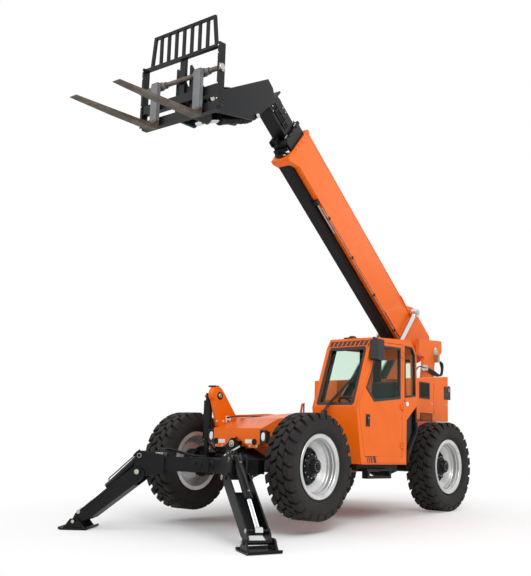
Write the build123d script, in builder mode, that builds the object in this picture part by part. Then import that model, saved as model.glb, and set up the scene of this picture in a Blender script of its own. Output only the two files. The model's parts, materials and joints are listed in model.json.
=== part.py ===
from build123d import *
from math import atan2, cos, degrees, radians, sin
import os

# Telehandler, parked on its front outriggers and its rear tyres, boom raised.
# Every piece but the two foot pads is drawn on a level chassis: x forward from the front axle,
# y to the left, z up from the ground under the rear tyres. STANCE then sets the nose up.

# Running gear
wheelbase = 3280
tyre_radius = 665
tyre_width = 400
wheel_y = 1065
rim_flange_radius = 400
rim_seat_radius = 356
rim_wall = 12
tyre_rim_gap = 0.5
disc_offset = 20
disc_thickness = 16
hub_radius = 165
nose_radius = 135
nose_reach = 85
kingpin_y = 800
yoke_reach = 44
knuckle_radius = 64
stub_radius = 110
knuckle_half_height = 140
axle_tube_radius = 105
diff_radius = 215
axle_pad_y = 320
axle_pad_length = 170
axle_pad_width = 120
run_gap = 0.3
joint_gap = 6

# Chassis
frame_half_width = 400
plate = 30
front_plate_x = 200
front_plate_thickness = 40
deck_front_z = 1119
deck_break_x = -190
deck_break_z = 1262
deck_rear_x = -1750
deck_rear_z = 1410
rail_top_z = 1300
belly_z = 560
arch_z = 885
rear_end_x = -4420
hitch_reach = 160
tie_down_y = 328
tie_down_z = 954
tie_down_radius = 26

# Frame levelling horn and its cylinder
horn_y = -445
horn_thickness = 90
horn_cylinder_gap = 18
horn_cylinder_radius = 60
horn_pin_x = 165
horn_pin_z = 1545
lug_half = 36
horn_cylinder_y = horn_y - horn_thickness / 2 - horn_cylinder_gap - horn_cylinder_radius

# Boom
boom_pivot_x = -4400
boom_pivot_z = 2550
boom_angle = 38.4
boom_length = 4560
boom_centre_drop = 81
boom_tail_reach = 90
boom_tail_up = 200
outer_width = 326
outer_height = 560
outer_wall = 12
section_gap = 12
section_wall = 10
mid_height = 450
inner_height = 310
section_rear = 130
mid_head = 4760
inner_head = 5300
pivot_pin_radius = 55
lift_eye_along = 755
lift_eye_up = 200
lift_y = 255
lift_base_x = -2230
lift_base_z = 1200
lift_barrel_radius = 70
lift_rod_radius = 40
lift_pin_radius = 45
lift_eye_radius = 70
lift_eye_width = 110
lift_barrel_length = 1780
lift_closed_span = 2051
barrel_base_share = 0.12
rod_end_gap = 10
tower_y = 350
tower_thickness = 60
tower_rear_x = -4630
tower_rear_z = 2570

# Boom head, carriage and forks
head_half_width = 190
head_plate = 25
carriage_pivot_x = 1140
carriage_pivot_z = 5350
tilt_base_x = 215
tilt_base_z = 5400
tilt_eye_x = 1130
tilt_eye_z = 5085
tilt_barrel_radius = 65
tilt_rod_radius = 36
tilt_barrel_length = 600
tilt_closed_span = 698
tilt_eye_radius = 55
tilt_eye_width = 110
carriage_x = 1450
carriage_depth = 110
carriage_half_width = 710
carriage_bottom_z = 4960
carriage_top_z = 5850
grille_top_z = 6270
grille_half_width = 560
shaft_x = 1525
shaft_z = 5515
shaft_radius = 32
fork_y = 390
fork_width = 125
fork_thickness = 55
fork_length = 1340
fork_bottom_z = 4905
fork_tip_rise = 32

# Outriggers
splay = 29.5
leg_drop = 38.7
leg_pivot_x = 1093
leg_pivot_y = 828
leg_pivot_z = 525
leg_length = 1037
leg_width = 280
leg_depth = 200
leg_wall = 20
arm_width = 150
arm_bottom_z = 545
arm_top_z = 725
bracket_half_width = 108
leg_cylinder_up = 205
leg_eye_along = 930
leg_eye_up = 65
leg_barrel_radius = 52
leg_rod_radius = 30
leg_barrel_length = 612
leg_closed_span = 668
leg_eye_radius = 45
leg_eye_width = 90
foot_pin_radius = 24
foot_length = 400
foot_width = 400
foot_plate = 22

# Cab
cab_left_y = 1150
cab_right_y = 410
cab_wall = 40
cab_floor_z = 690
cab_front_low_x = -1030
cab_belt_x = -900
cab_belt_z = 1440
cab_top_front_x = -1310
cab_top_front_z = 2430
cab_top_rear_x = -2290
cab_top_rear_z = 2490
cab_bend_x = -2460
cab_bend_z = 2300
cab_rear_belt_x = -2490
cab_rear_belt_z = 1550
cab_rear_low_x = -2190
cab_rear_low_z = 1320

# Rear boxes and engine side
box_outer_y = 850
box_front_x = -2620
box_rear_x = -3980
box_bottom_z = 1358
box_front_z = 1960
box_rear_z = 2090
engine_outer_y = 1150
engine_front_x = -960
engine_rear_x = -2300
engine_top_z = 1560
engine_bottom_z = 720
lid_hinge_out = 20
lid_hinge_drop = 14.3
lid_hinge_radius = 15.4

# Stance: nose up about the rear wheels' centre
nose_up = 2.68
fork_tip_x = carriage_x + carriage_depth + fork_length
STANCE_LEVEL = Location((-wheelbase, 0, tyre_radius)) * Location((0, 0, 0), (0, -nose_up, 0)) \
    * Location((wheelbase, 0, -tyre_radius))


def boom_point(u, v):
    """Chassis x and z of a point u along the boom and v above its pivot line."""
    a = radians(boom_angle)
    return (boom_pivot_x + u * cos(a) - v * sin(a), boom_pivot_z + u * sin(a) + v * cos(a))


def stance_x(x, z):
    """How far forward a chassis point lies once the nose is up."""
    return (STANCE_LEVEL * Location((x, 0, z))).position.X


front_reach = stance_x(fork_tip_x, fork_bottom_z + fork_tip_rise)
rear_reach = stance_x(tower_rear_x, tower_rear_z)
centre_x = (front_reach + rear_reach) / 2
STANCE = Location((-centre_x, 0, 0)) * STANCE_LEVEL
GROUND = Location((-centre_x, 0, 0))

os.makedirs("parts", exist_ok=True)
kept = {}


def keep(piece, label, place=STANCE):
    """Put a finished piece into the parked stance and write it."""
    piece.part = piece.part.moved(place)
    piece.part.label = label
    export_step(piece.part, f"parts/{label}.step")
    kept[label] = piece.part


def side(y):
    """Sketch plane seen from the machine's right: local x forward, local y up."""
    return Plane(origin=(0, y, 0), x_dir=(1, 0, 0), z_dir=(0, -1, 0))


def across(x, z, y=0):
    """Plane whose normal is +Y, for pins and tubes across the machine."""
    return Plane(origin=(x, y, z), x_dir=(1, 0, 0), z_dir=(0, 1, 0))


def along(start, end):
    """Plane at start with its normal towards end."""
    return Plane(origin=start, z_dir=Vector(*end) - Vector(*start))


def boom_side(y):
    """Sketch plane on the boom's side: local x along the boom from its pivot."""
    a = radians(boom_angle)
    return Plane(origin=(boom_pivot_x, y, boom_pivot_z), x_dir=(cos(a), 0, sin(a)),
                 z_dir=(0, -1, 0))


# Wheels: drawn on the left side about the wheel's own centre, outside towards +Y
def wheel_plane(x, y):
    return Plane(origin=(x, y, tyre_radius), x_dir=(1, 0, 0), z_dir=(0, 0, 1))


def tyre(x, y):
    half = tyre_width / 2
    seat = rim_seat_radius + tyre_rim_gap
    bead_half = 148
    with BuildPart() as piece:
        with BuildSketch(wheel_plane(x, y)):
            with BuildLine():
                Polyline((seat, -bead_half), (seat, bead_half), (seat + 40, bead_half))
                Spline((seat + 40, bead_half), (seat + 150, half), (tyre_radius - 60, half - 12))
                Line((tyre_radius - 60, half - 12), (tyre_radius - 6, half - 30))
                ThreePointArc((tyre_radius - 6, half - 30), (tyre_radius, 0),
                              (tyre_radius - 6, 30 - half))
                Line((tyre_radius - 6, 30 - half), (tyre_radius - 60, 12 - half))
                Spline((tyre_radius - 60, 12 - half), (seat + 150, -half), (seat + 40, -bead_half))
                Line((seat + 40, -bead_half), (seat, -bead_half))
            make_face()
        revolve(axis=Axis((x, y, tyre_radius), (0, 1, 0)))
    return piece


def rim(x, y, outward):
    flange_half = 166
    seat_in = rim_seat_radius - rim_wall
    with BuildPart() as piece:
        with BuildSketch(wheel_plane(x, y)):
            Polygon((seat_in, -flange_half), (rim_flange_radius, -flange_half),
                    (rim_flange_radius, -flange_half + rim_wall),
                    (rim_seat_radius, -flange_half + rim_wall),
                    (rim_seat_radius, flange_half - rim_wall),
                    (rim_flange_radius, flange_half - rim_wall),
                    (rim_flange_radius, flange_half), (seat_in, flange_half), align=None)
            Polygon((seat_in + 2, outward * disc_offset),
                    (seat_in + 2, outward * (disc_offset + disc_thickness)),
                    (hub_radius + 75, outward * (disc_offset - 60)),
                    (nose_radius + run_gap, outward * (disc_offset - 60)),
                    (nose_radius + run_gap, outward * (disc_offset - 60 - disc_thickness)),
                    (hub_radius + 70, outward * (disc_offset - 60 - disc_thickness)), align=None)
        revolve(axis=Axis((x, y, tyre_radius), (0, 1, 0)))
    return piece


def hub(x, y, outward):
    face = disc_offset - 60 - disc_thickness - run_gap
    root = kingpin_y + 70 - wheel_y
    with BuildPart() as piece:
        with BuildSketch(wheel_plane(x, y)):
            Polygon((0, outward * root), (hub_radius - 30, outward * root),
                    (hub_radius, outward * (root + 40)), (hub_radius, outward * face),
                    (nose_radius, outward * face), (nose_radius, outward * (nose_reach - 40)),
                    (nose_radius - 45, outward * nose_reach), (0, outward * nose_reach),
                    align=None)
        revolve(axis=Axis((x, y, tyre_radius), (0, 1, 0)))
    return piece


def knuckle(x, outward):
    with BuildPart() as piece:
        with BuildSketch(Plane((x, outward * kingpin_y, tyre_radius - knuckle_half_height))):
            Circle(knuckle_radius)
        extrude(amount=2 * knuckle_half_height)
        with BuildSketch(across(x, tyre_radius, outward * (kingpin_y + 20))):
            Circle(stub_radius)
        extrude(amount=outward * (50 - run_gap))
    return piece


def axle(x):
    arm = knuckle_half_height + run_gap
    yoke_inner = kingpin_y - stub_radius - 10
    with BuildPart() as piece:
        with BuildSketch(Plane(origin=(x, 0, tyre_radius), x_dir=(0, 1, 0), z_dir=(-1, 0, 0))):
            with BuildLine():
                Polyline((-yoke_inner, 0), (-yoke_inner, axle_tube_radius), (-330, axle_tube_radius))
                Spline((-330, axle_tube_radius), (-180, axle_tube_radius + 60), (0, diff_radius),
                       (180, axle_tube_radius + 60), (330, axle_tube_radius))
                Polyline((330, axle_tube_radius), (yoke_inner, axle_tube_radius), (yoke_inner, 0),
                         (-yoke_inner, 0))
            make_face()
        revolve(axis=Axis((x, 0, tyre_radius), (0, 1, 0)))
        for outward in (1, -1):
            with BuildSketch(Plane.YZ.offset(x)):
                Polygon((outward * (yoke_inner - 90), tyre_radius - 100),
                        (outward * (yoke_inner - 90), tyre_radius + 100),
                        (outward * (yoke_inner - 20), tyre_radius + arm + 45),
                        (outward * (kingpin_y + yoke_reach), tyre_radius + arm + 45),
                        (outward * (kingpin_y + yoke_reach), tyre_radius + arm),
                        (outward * yoke_inner, tyre_radius + arm),
                        (outward * yoke_inner, tyre_radius - arm),
                        (outward * (kingpin_y + yoke_reach), tyre_radius - arm),
                        (outward * (kingpin_y + yoke_reach), tyre_radius - arm - 45),
                        (outward * (yoke_inner - 20), tyre_radius - arm - 45), align=None)
            extrude(amount=75, both=True)
    return piece


wheels = {"front_left": (0, 1), "front_right": (0, -1),
          "rear_left": (-wheelbase, 1), "rear_right": (-wheelbase, -1)}
for corner, (wheel_x, outward) in wheels.items():
    keep(tyre(wheel_x, outward * wheel_y), f"tyre_{corner}")
    keep(rim(wheel_x, outward * wheel_y, outward), f"rim_{corner}")
    keep(hub(wheel_x, outward * wheel_y, outward), f"hub_{corner}")
    keep(knuckle(wheel_x, outward), f"knuckle_{corner}")
with BuildPart() as front_axle:
    add(axle(0).part)
    with BuildSketch(Plane.XY.offset(tyre_radius)):
        with Locations((horn_pin_x / 2, horn_cylinder_y)):
            Rectangle(horn_pin_x + 2 * lug_half, 2 * lug_half)
    extrude(amount=axle_tube_radius + 20)
keep(front_axle, "front_axle")
with BuildPart() as rear_axle:
    add(axle(-wheelbase).part)
    with BuildSketch(Plane.XY.offset(tyre_radius)):
        with Locations((-wheelbase, axle_pad_y), (-wheelbase, -axle_pad_y)):
            Rectangle(axle_pad_length, axle_pad_width)
    extrude(amount=arch_z - tyre_radius)
keep(rear_axle, "rear_axle")

# Chassis frame: a box open over the lift cylinders
inner_half = frame_half_width - plate
with BuildPart() as chassis_frame:
    with BuildSketch(side(0)):
        Polygon((front_plate_x - front_plate_thickness, arch_z),
                (front_plate_x - front_plate_thickness, deck_front_z),
                (deck_break_x, deck_break_z), (deck_rear_x, deck_rear_z),
                (deck_rear_x - 130, rail_top_z), (rear_end_x, rail_top_z), (rear_end_x, arch_z),
                (-wheelbase - 420, arch_z), (-wheelbase + 420, arch_z),
                (-wheelbase + 640, belly_z), (-640, belly_z), (-430, arch_z), align=None)
    extrude(amount=frame_half_width, both=True)
    with BuildSketch(side(0)):
        Polygon((rear_end_x + 40, rail_top_z + 1), (rear_end_x + 40, arch_z + plate),
                (-wheelbase + 400, arch_z + plate), (-wheelbase + 620, belly_z + plate),
                (-660, belly_z + plate), (-450, arch_z + plate),
                (0, arch_z + plate), (0, deck_break_z - 150), (deck_break_x, deck_break_z - plate),
                (deck_rear_x, deck_rear_z - plate), (deck_rear_x - 30, rail_top_z + 300),
                (deck_rear_x - 120, rail_top_z + 300), align=None)
    extrude(amount=inner_half, both=True, mode=Mode.SUBTRACT)
    # front plate with its arched notch and two lobes
    with BuildSketch(Plane.YZ.offset(front_plate_x - front_plate_thickness)):
        Polygon((-frame_half_width - 11, deck_front_z), (frame_half_width + 11, deck_front_z),
                (frame_half_width + 11, 930), (frame_half_width - 60, 868),
                (frame_half_width - 150, 868), (180, 900), (0, 1010), (-180, 900),
                (150 - frame_half_width, 868), (60 - frame_half_width, 868),
                (-frame_half_width - 11, 930), align=None)
        with Locations((tie_down_y, tie_down_z), (-tie_down_y, tie_down_z)):
            Circle(tie_down_radius, mode=Mode.SUBTRACT)
    extrude(amount=front_plate_thickness)
    # clevis plates for the lift cylinders, inside the open well
    for lug_y in (lift_y - 90, lift_y + 90):
        for mirror_sign in (1, -1):
            with BuildSketch(side(mirror_sign * lug_y)):
                Polygon((lift_base_x - 160, belly_z + plate), (lift_base_x + 160, belly_z + plate),
                        (lift_base_x + 70, lift_base_z + 60), (lift_base_x - 70, lift_base_z + 60),
                        align=None)
            extrude(amount=10, both=True)
    with BuildSketch(across(lift_base_x, lift_base_z)):
        Circle(lift_pin_radius)
    extrude(amount=lift_y + 100, both=True)
    # rear plate and its tow hitch
    with BuildSketch(side(0)):
        Polygon((rear_end_x, arch_z), (rear_end_x - hitch_reach, arch_z),
                (rear_end_x - hitch_reach, arch_z + plate), (rear_end_x, arch_z + plate),
                align=None)
        Polygon((rear_end_x, arch_z + 110), (rear_end_x - hitch_reach, arch_z + 110),
                (rear_end_x - hitch_reach, arch_z + 110 + plate), (rear_end_x, arch_z + 110 + plate),
                align=None)
    extrude(amount=90, both=True)
    with Locations((rear_end_x - hitch_reach + 60, 0, arch_z)):
        Cylinder(20, 400, mode=Mode.SUBTRACT)
keep(chassis_frame, "chassis_frame")

# Levelling horn at the front right of the frame
with BuildPart() as levelling_horn:
    with BuildSketch(side(horn_y)):
        with BuildLine():
            Polyline((100, 1140), (215, 1480))
            ThreePointArc((215, 1480), (230, 1640), (80, 1650))
            Polyline((80, 1650), (20, 1590), (-330, 1180), (-330, 1000), (100, 1000), (100, 1140))
        make_face()
    extrude(amount=horn_thickness / 2, both=True)
    with Locations(across(horn_pin_x, horn_pin_z, horn_y - horn_thickness / 2)):
        Cylinder(22, 2 * horn_cylinder_radius + horn_cylinder_gap,
                 align=(Align.CENTER, Align.CENTER, Align.MAX))
keep(levelling_horn, "levelling_horn")

axle_foot_z = tyre_radius + axle_tube_radius + 20
with BuildPart() as levelling_cylinder:
    with BuildSketch(Plane.XY.offset(axle_foot_z)):
        with Locations((horn_pin_x, horn_cylinder_y)):
            Circle(34)
    extrude(amount=180)
    with BuildSketch(Plane.XY.offset(axle_foot_z + 180)):
        with Locations((horn_pin_x, horn_cylinder_y)):
            Circle(horn_cylinder_radius)
    extrude(amount=horn_pin_z - axle_foot_z - 240)
    with BuildSketch(Plane.XY.offset(horn_pin_z - 60)):
        with Locations((horn_pin_x, horn_cylinder_y)):
            Circle(36)
    extrude(amount=100)
    with Locations(across(horn_pin_x, horn_pin_z, horn_cylinder_y)):
        Cylinder(22 + run_gap, 200, mode=Mode.SUBTRACT)
keep(levelling_cylinder, "levelling_cylinder")

# Boom tower: two side plates with the pivot box at the top, joined by the pivot pin
with BuildPart() as boom_tower:
    for mirror_sign in (1, -1):
        with BuildSketch(side(mirror_sign * tower_y)):
            Polygon((-3600, rail_top_z), (-3990, 2120), (-4030, 2430), (-3860, 2470), (-3860, 2725),
                    (-4620, 2760), (tower_rear_x, tower_rear_z), (-4520, 2470), (-4390, 2440), (-4360, 2120),
                    (rear_end_x, rail_top_z), align=None)
        extrude(amount=tower_thickness / 2, both=True)
    with BuildSketch(across(boom_pivot_x, boom_pivot_z)):
        Circle(pivot_pin_radius)
    extrude(amount=tower_y, both=True)
    with BuildSketch(side(0)):
        Polygon((-4400, rail_top_z), (-4400, 1650), (-4360, 1650), (-4360, rail_top_z), align=None)
    extrude(amount=tower_y, both=True)
keep(boom_tower, "boom_tower")

# Boom: three nested box sections, then the head plates on the innermost one
half_outer = outer_width / 2
half_mid = half_outer - outer_wall - section_gap
half_inner = half_mid - section_wall - section_gap
low = -boom_centre_drop - outer_height / 2
high = low + outer_height


def boom_box(start, end, half, height, wall, pads):
    """One inner boom section: a square tube with wear pads at its rear end."""
    pad = pads - run_gap
    with BuildPart() as piece:
        with BuildSketch(boom_side(0)):
            with Locations((start, -boom_centre_drop)):
                Rectangle(end - start, height, align=(Align.MIN, Align.CENTER))
        extrude(amount=half, both=True)
        with BuildSketch(boom_side(0)):
            with Locations((start, -boom_centre_drop)):
                Rectangle(320, height + 2 * pad, align=(Align.MIN, Align.CENTER))
        extrude(amount=half - 30, both=True)
        with BuildSketch(boom_side(0)):
            with Locations((start, -boom_centre_drop)):
                Rectangle(end - start, height - 2 * wall, align=(Align.MIN, Align.CENTER))
        extrude(amount=half - wall, both=True, mode=Mode.SUBTRACT)
    return piece


with BuildPart() as boom_outer:
    with BuildSketch(boom_side(0)):
        Polygon((60, low + 60), (300, low), (boom_length - 260, low), (boom_length - 60, low - 120),
                (boom_length, low - 120), (boom_length, high + 25), (boom_length - 60, high + 25),
                (boom_length - 110, high), (946, high), (757, high + 140), (60, high + 140),
                (-boom_tail_reach, boom_tail_up), (-boom_tail_reach, -60), align=None)
    extrude(amount=half_outer, both=True)
    with BuildSketch(boom_side(0)):
        with Locations((section_rear - 10, -boom_centre_drop)):
            Rectangle(boom_length, outer_height - 2 * outer_wall, align=(Align.MIN, Align.CENTER))
    extrude(amount=half_outer - outer_wall, both=True, mode=Mode.SUBTRACT)
    # base doublers that carry the lift cylinders' eyes
    for mirror_sign in (1, -1):
        with BuildSketch(boom_side(mirror_sign * (half_outer + 6))):
            Polygon((60, low + 60), (300, low), (1346, low), (946, high), (757, high + 140),
                    (60, high + 140), (-boom_tail_reach, boom_tail_up), (-boom_tail_reach, -60),
                    align=None)
        extrude(amount=6, both=True)
    with BuildSketch(across(boom_pivot_x, boom_pivot_z)):
        Circle(pivot_pin_radius + run_gap)
    extrude(amount=half_outer + 20, both=True, mode=Mode.SUBTRACT)
    # pads at the head, round the middle section
    with BuildSketch(boom_side(0)):
        with Locations((boom_length - 200, -boom_centre_drop)):
            Rectangle(200, outer_height - 2 * outer_wall, align=(Align.MIN, Align.CENTER))
            Rectangle(200, mid_height + 2 * run_gap, align=(Align.MIN, Align.CENTER),
                      mode=Mode.SUBTRACT)
    extrude(amount=half_outer - outer_wall, both=True)
keep(boom_outer, "boom_outer")

mid_pads = (outer_height - 2 * outer_wall - mid_height) / 2
inner_pads = (mid_height - 2 * section_wall - inner_height) / 2
boom_mid = boom_box(section_rear, mid_head, half_mid, mid_height, section_wall, mid_pads)
keep(boom_mid, "boom_mid")
boom_inner = boom_box(section_rear + 40, inner_head, half_inner, inner_height, section_wall,
                      inner_pads)
keep(boom_inner, "boom_inner")

with BuildPart() as boom_head:
    for mirror_sign in (1, -1):
        with BuildSketch(side(mirror_sign * (head_half_width - head_plate / 2))):
            Polygon((0, 6020), (1010, 5505), (1200, 5420), (1235, 5330), (1170, 5240), (1085, 5190),
                    (260, 5324), (-160, 5760), (-110, 5920), align=None)
        extrude(amount=head_plate / 2, both=True)
    with BuildSketch(side(0)):
        Polygon((0, 6020), (900, 5561), (889, 5539), (0, 5992), (-85, 5905), (-130, 5760),
                (-160, 5760), (-110, 5920), align=None)
    extrude(amount=head_half_width - head_plate, both=True)
    with BuildSketch(across(carriage_pivot_x, carriage_pivot_z)):
        Circle(38)
    extrude(amount=head_half_width + 15, both=True)
    with BuildSketch(across(tilt_base_x, tilt_base_z)):
        Circle(30)
    extrude(amount=head_half_width, both=True)
    # the neck plate that closes on the inner section
    with BuildSketch(boom_side(0)):
        with Locations((inner_head, -boom_centre_drop)):
            Rectangle(25, inner_height + 80, align=(Align.MIN, Align.CENTER))
    extrude(amount=head_half_width - head_plate, both=True)
keep(boom_head, "boom_head")


def barrel(start, end, length, radius, bore, pin):
    """Cylinder barrel from its base pin towards end, bored for its rod."""
    with BuildPart() as piece:
        with BuildSketch(along(start, end)):
            Circle(radius)
        extrude(amount=length)
        with BuildSketch(along(start, end)):
            Circle(bore + run_gap)
        extrude(amount=length, mode=Mode.SUBTRACT)
        with BuildSketch(along(start, end)):
            Circle(radius)
        extrude(amount=length * barrel_base_share)
        with Locations(pin):
            Cylinder(radius * 0.95, radius * 1.7)
    return piece


def rod(start, end, closed, barrel_length, radius, pin, eye, eye_width):
    """Rod from its eye back into the barrel, short enough to close."""
    length = closed - barrel_length * barrel_base_share - rod_end_gap
    with BuildPart() as piece:
        with BuildSketch(along(end, start)):
            Circle(radius)
        extrude(amount=length)
        with Locations(pin):
            Cylinder(eye, eye_width)
    return piece


# Lift cylinders, drawn on the left and mirrored
lift_eye = boom_point(lift_eye_along, lift_eye_up)
lift_base_pin = (lift_base_x, lift_y, lift_base_z)
lift_eye_pin = (lift_eye[0], lift_y, lift_eye[1])
lift_barrel = barrel(lift_base_pin, lift_eye_pin, lift_barrel_length, lift_barrel_radius,
                     lift_rod_radius, across(lift_base_x, lift_base_z, lift_y))
with BuildPart() as lift_barrels:
    add(lift_barrel.part)
    with BuildSketch(across(lift_base_x, lift_base_z)):
        Circle(lift_pin_radius + run_gap)
    extrude(amount=2 * lift_y, mode=Mode.SUBTRACT)
    mirror(about=Plane.XZ)
keep(lift_barrels, "lift_barrels")
with BuildPart() as lift_rods:
    add(rod(lift_base_pin, lift_eye_pin, lift_closed_span, lift_barrel_length, lift_rod_radius,
            across(lift_eye[0], lift_eye[1], lift_y), lift_eye_radius, lift_eye_width).part)
    mirror(about=Plane.XZ)
keep(lift_rods, "lift_rods")

# Fork tilt cylinder
tilt_base = (tilt_base_x, 0, tilt_base_z)
tilt_eye = (tilt_eye_x, 0, tilt_eye_z)
tilt_solid = barrel(tilt_base, tilt_eye, tilt_barrel_length, tilt_barrel_radius, tilt_rod_radius,
                    across(tilt_base_x, tilt_base_z))
with BuildPart() as tilt_barrel:
    add(tilt_solid.part)
    with BuildSketch(across(tilt_base_x, tilt_base_z)):
        Circle(30 + run_gap)
    extrude(amount=head_half_width, both=True, mode=Mode.SUBTRACT)
keep(tilt_barrel, "tilt_barrel")
tilt_rod = rod(tilt_base, tilt_eye, tilt_closed_span, tilt_barrel_length, tilt_rod_radius,
               across(tilt_eye_x, tilt_eye_z), tilt_eye_radius, tilt_eye_width)
keep(tilt_rod, "tilt_rod")

# Carriage: coupler ears, uprights, cross bars and the load guard
with BuildPart() as carriage:
    ear_inner = 100
    for mirror_sign in (1, -1):
        with BuildSketch(side(mirror_sign * (ear_inner + 20))):
            Polygon((carriage_pivot_x - 60, carriage_pivot_z + 20), (carriage_pivot_x, 5420),
                    (carriage_x + 15, 5720), (carriage_x + 15, 5020), (tilt_eye_x - 20, 5020),
                    (tilt_eye_x - 70, 5085), (tilt_eye_x - 60, 5160), align=None)
        extrude(amount=20, both=True)
        with BuildSketch(side(mirror_sign * (carriage_half_width - 15))):
            Polygon((carriage_x, 5040), (carriage_x + carriage_depth, 5000),
                    (carriage_x + carriage_depth, carriage_top_z), (carriage_x, carriage_top_z),
                    align=None)
        extrude(amount=15, both=True)
    with BuildSketch(side(0)):
        with Locations((carriage_x + 50, carriage_bottom_z + 70), (carriage_x + 50, 5250)):
            Rectangle(carriage_depth - 20, 120)
        with Locations((carriage_x + 50, carriage_top_z - 20)):
            Rectangle(60, 40)
    extrude(amount=carriage_half_width - 30, both=True)
    with BuildSketch(side(0)):
        with Locations((carriage_x + 25, (carriage_bottom_z + carriage_top_z) / 2 + 40)):
            Rectangle(50, carriage_top_z - carriage_bottom_z - 100)
    extrude(amount=45, both=True)
    with BuildSketch(Plane.YZ.offset(carriage_x + 20)):
        Polygon((-610, carriage_top_z - 10), (610, carriage_top_z - 10),
                (grille_half_width, grille_top_z), (-grille_half_width, grille_top_z), align=None)
        Polygon((-570, carriage_top_z), (570, carriage_top_z),
                (grille_half_width - 35, grille_top_z - 35), (35 - grille_half_width, grille_top_z - 35),
                align=None, mode=Mode.SUBTRACT)
        for bar in range(7):
            with Locations(((bar - 3) * 142, (carriage_top_z + grille_top_z) / 2)):
                Rectangle(32, grille_top_z - carriage_top_z - 10)
    extrude(amount=40)
    with BuildSketch(across(shaft_x, shaft_z)):
        Circle(shaft_radius + run_gap)
    extrude(amount=2000, both=True, mode=Mode.SUBTRACT)
    with BuildSketch(across(carriage_pivot_x, carriage_pivot_z)):
        Circle(38 + run_gap)
    extrude(amount=2000, both=True, mode=Mode.SUBTRACT)
    with BuildSketch(across(shaft_x, shaft_z)):
        Rectangle(40, 40)
keep(carriage, "carriage")

with BuildPart() as fork_shaft:
    with Locations(across(shaft_x, shaft_z)):
        Cylinder(shaft_radius, 2 * carriage_half_width + 40)
keep(fork_shaft, "fork_shaft")

with BuildPart() as forks:
    face = carriage_x + carriage_depth + 2
    for mirror_sign in (1, -1):
        with BuildSketch(side(mirror_sign * fork_y)):
            Polygon((face, fork_bottom_z + 60), (face + 20, fork_bottom_z + 10),
                    (face + 60, fork_bottom_z), (face + 700, fork_bottom_z + 8),
                    (fork_tip_x, fork_bottom_z + fork_tip_rise), (fork_tip_x, fork_bottom_z + 42),
                    (face + fork_thickness + 60, fork_bottom_z + fork_thickness),
                    (face + fork_thickness, fork_bottom_z + fork_thickness + 50),
                    (face + fork_thickness, shaft_z + 30), (face, shaft_z + 30), align=None)
        extrude(amount=fork_width / 2, both=True)
        with BuildSketch(side(mirror_sign * fork_y)):
            with Locations((shaft_x, shaft_z)):
                Circle(shaft_radius + 24)
            with Locations((shaft_x, shaft_z)):
                Rectangle(face + fork_thickness - shaft_x, 2 * shaft_radius,
                          align=(Align.MIN, Align.CENTER))
        extrude(amount=fork_width / 2 - 10, both=True)
        with BuildSketch(across(shaft_x, shaft_z)):
            Circle(shaft_radius + run_gap)
        extrude(amount=2000, both=True, mode=Mode.SUBTRACT)
keep(forks, "forks")


# Outriggers, drawn on the left and mirrored: a V of arms, a leg, its foot and its cylinder
def leg_plane(offset=0.0):
    """Plane at the leg's pivot: local x down the leg, local y out of its open side."""
    a, b = radians(splay), radians(leg_drop)
    normal = Vector(cos(a), -sin(a), 0)
    origin = Vector(leg_pivot_x, leg_pivot_y, leg_pivot_z) + normal * offset
    return Plane(origin=origin, x_dir=(sin(a) * cos(b), cos(a) * cos(b), -sin(b)), z_dir=normal)


def arm_plane(offset=0.0):
    """Plane at the leg's pivot: local x level and outward along the arm, local y up."""
    a = radians(splay)
    normal = Vector(cos(a), -sin(a), 0)
    origin = Vector(leg_pivot_x, leg_pivot_y, leg_pivot_z) + normal * offset
    return Plane(origin=origin, x_dir=(sin(a), cos(a), 0), z_dir=normal)


def leg_point(u, v):
    """Chassis point u down the leg and v above its pivot line."""
    a, b = radians(splay), radians(leg_drop)
    out = u * cos(b) + v * sin(b)
    return (leg_pivot_x + out * sin(a), leg_pivot_y + out * cos(a), leg_pivot_z - u * sin(b) + v * cos(b))


arm_run = (leg_pivot_y - 20) / cos(radians(splay))
arm_low = arm_bottom_z - leg_pivot_z
arm_high = arm_top_z - leg_pivot_z
with BuildPart() as arm_left:
    with BuildSketch(arm_plane()):
        Polygon((-arm_run, arm_low), (-150, arm_low), (-150, arm_high), (-arm_run, arm_high),
                align=None)
    extrude(amount=arm_width / 2, both=True)
    for face in (1, -1):
        with BuildSketch(arm_plane(face * (bracket_half_width - 12))):
            Polygon((-330, arm_low - 20), (-60, arm_low - 75), (50, -60), (65, 20), (60, 215),
                    (30, 265), (-40, 265), (-330, arm_high + 20), align=None)
        extrude(amount=12, both=True)
    with BuildSketch(arm_plane()):
        Polygon((-330, arm_low), (-150, arm_low), (-150, arm_high), (-330, arm_high), align=None)
    extrude(amount=bracket_half_width - 20, both=True)
    with BuildSketch(arm_plane()):
        Circle(28)
    extrude(amount=leg_width / 2 + 12, both=True)
    with BuildSketch(arm_plane()):
        with Locations((0, leg_cylinder_up)):
            Circle(24)
    extrude(amount=bracket_half_width + 10, both=True)

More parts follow.
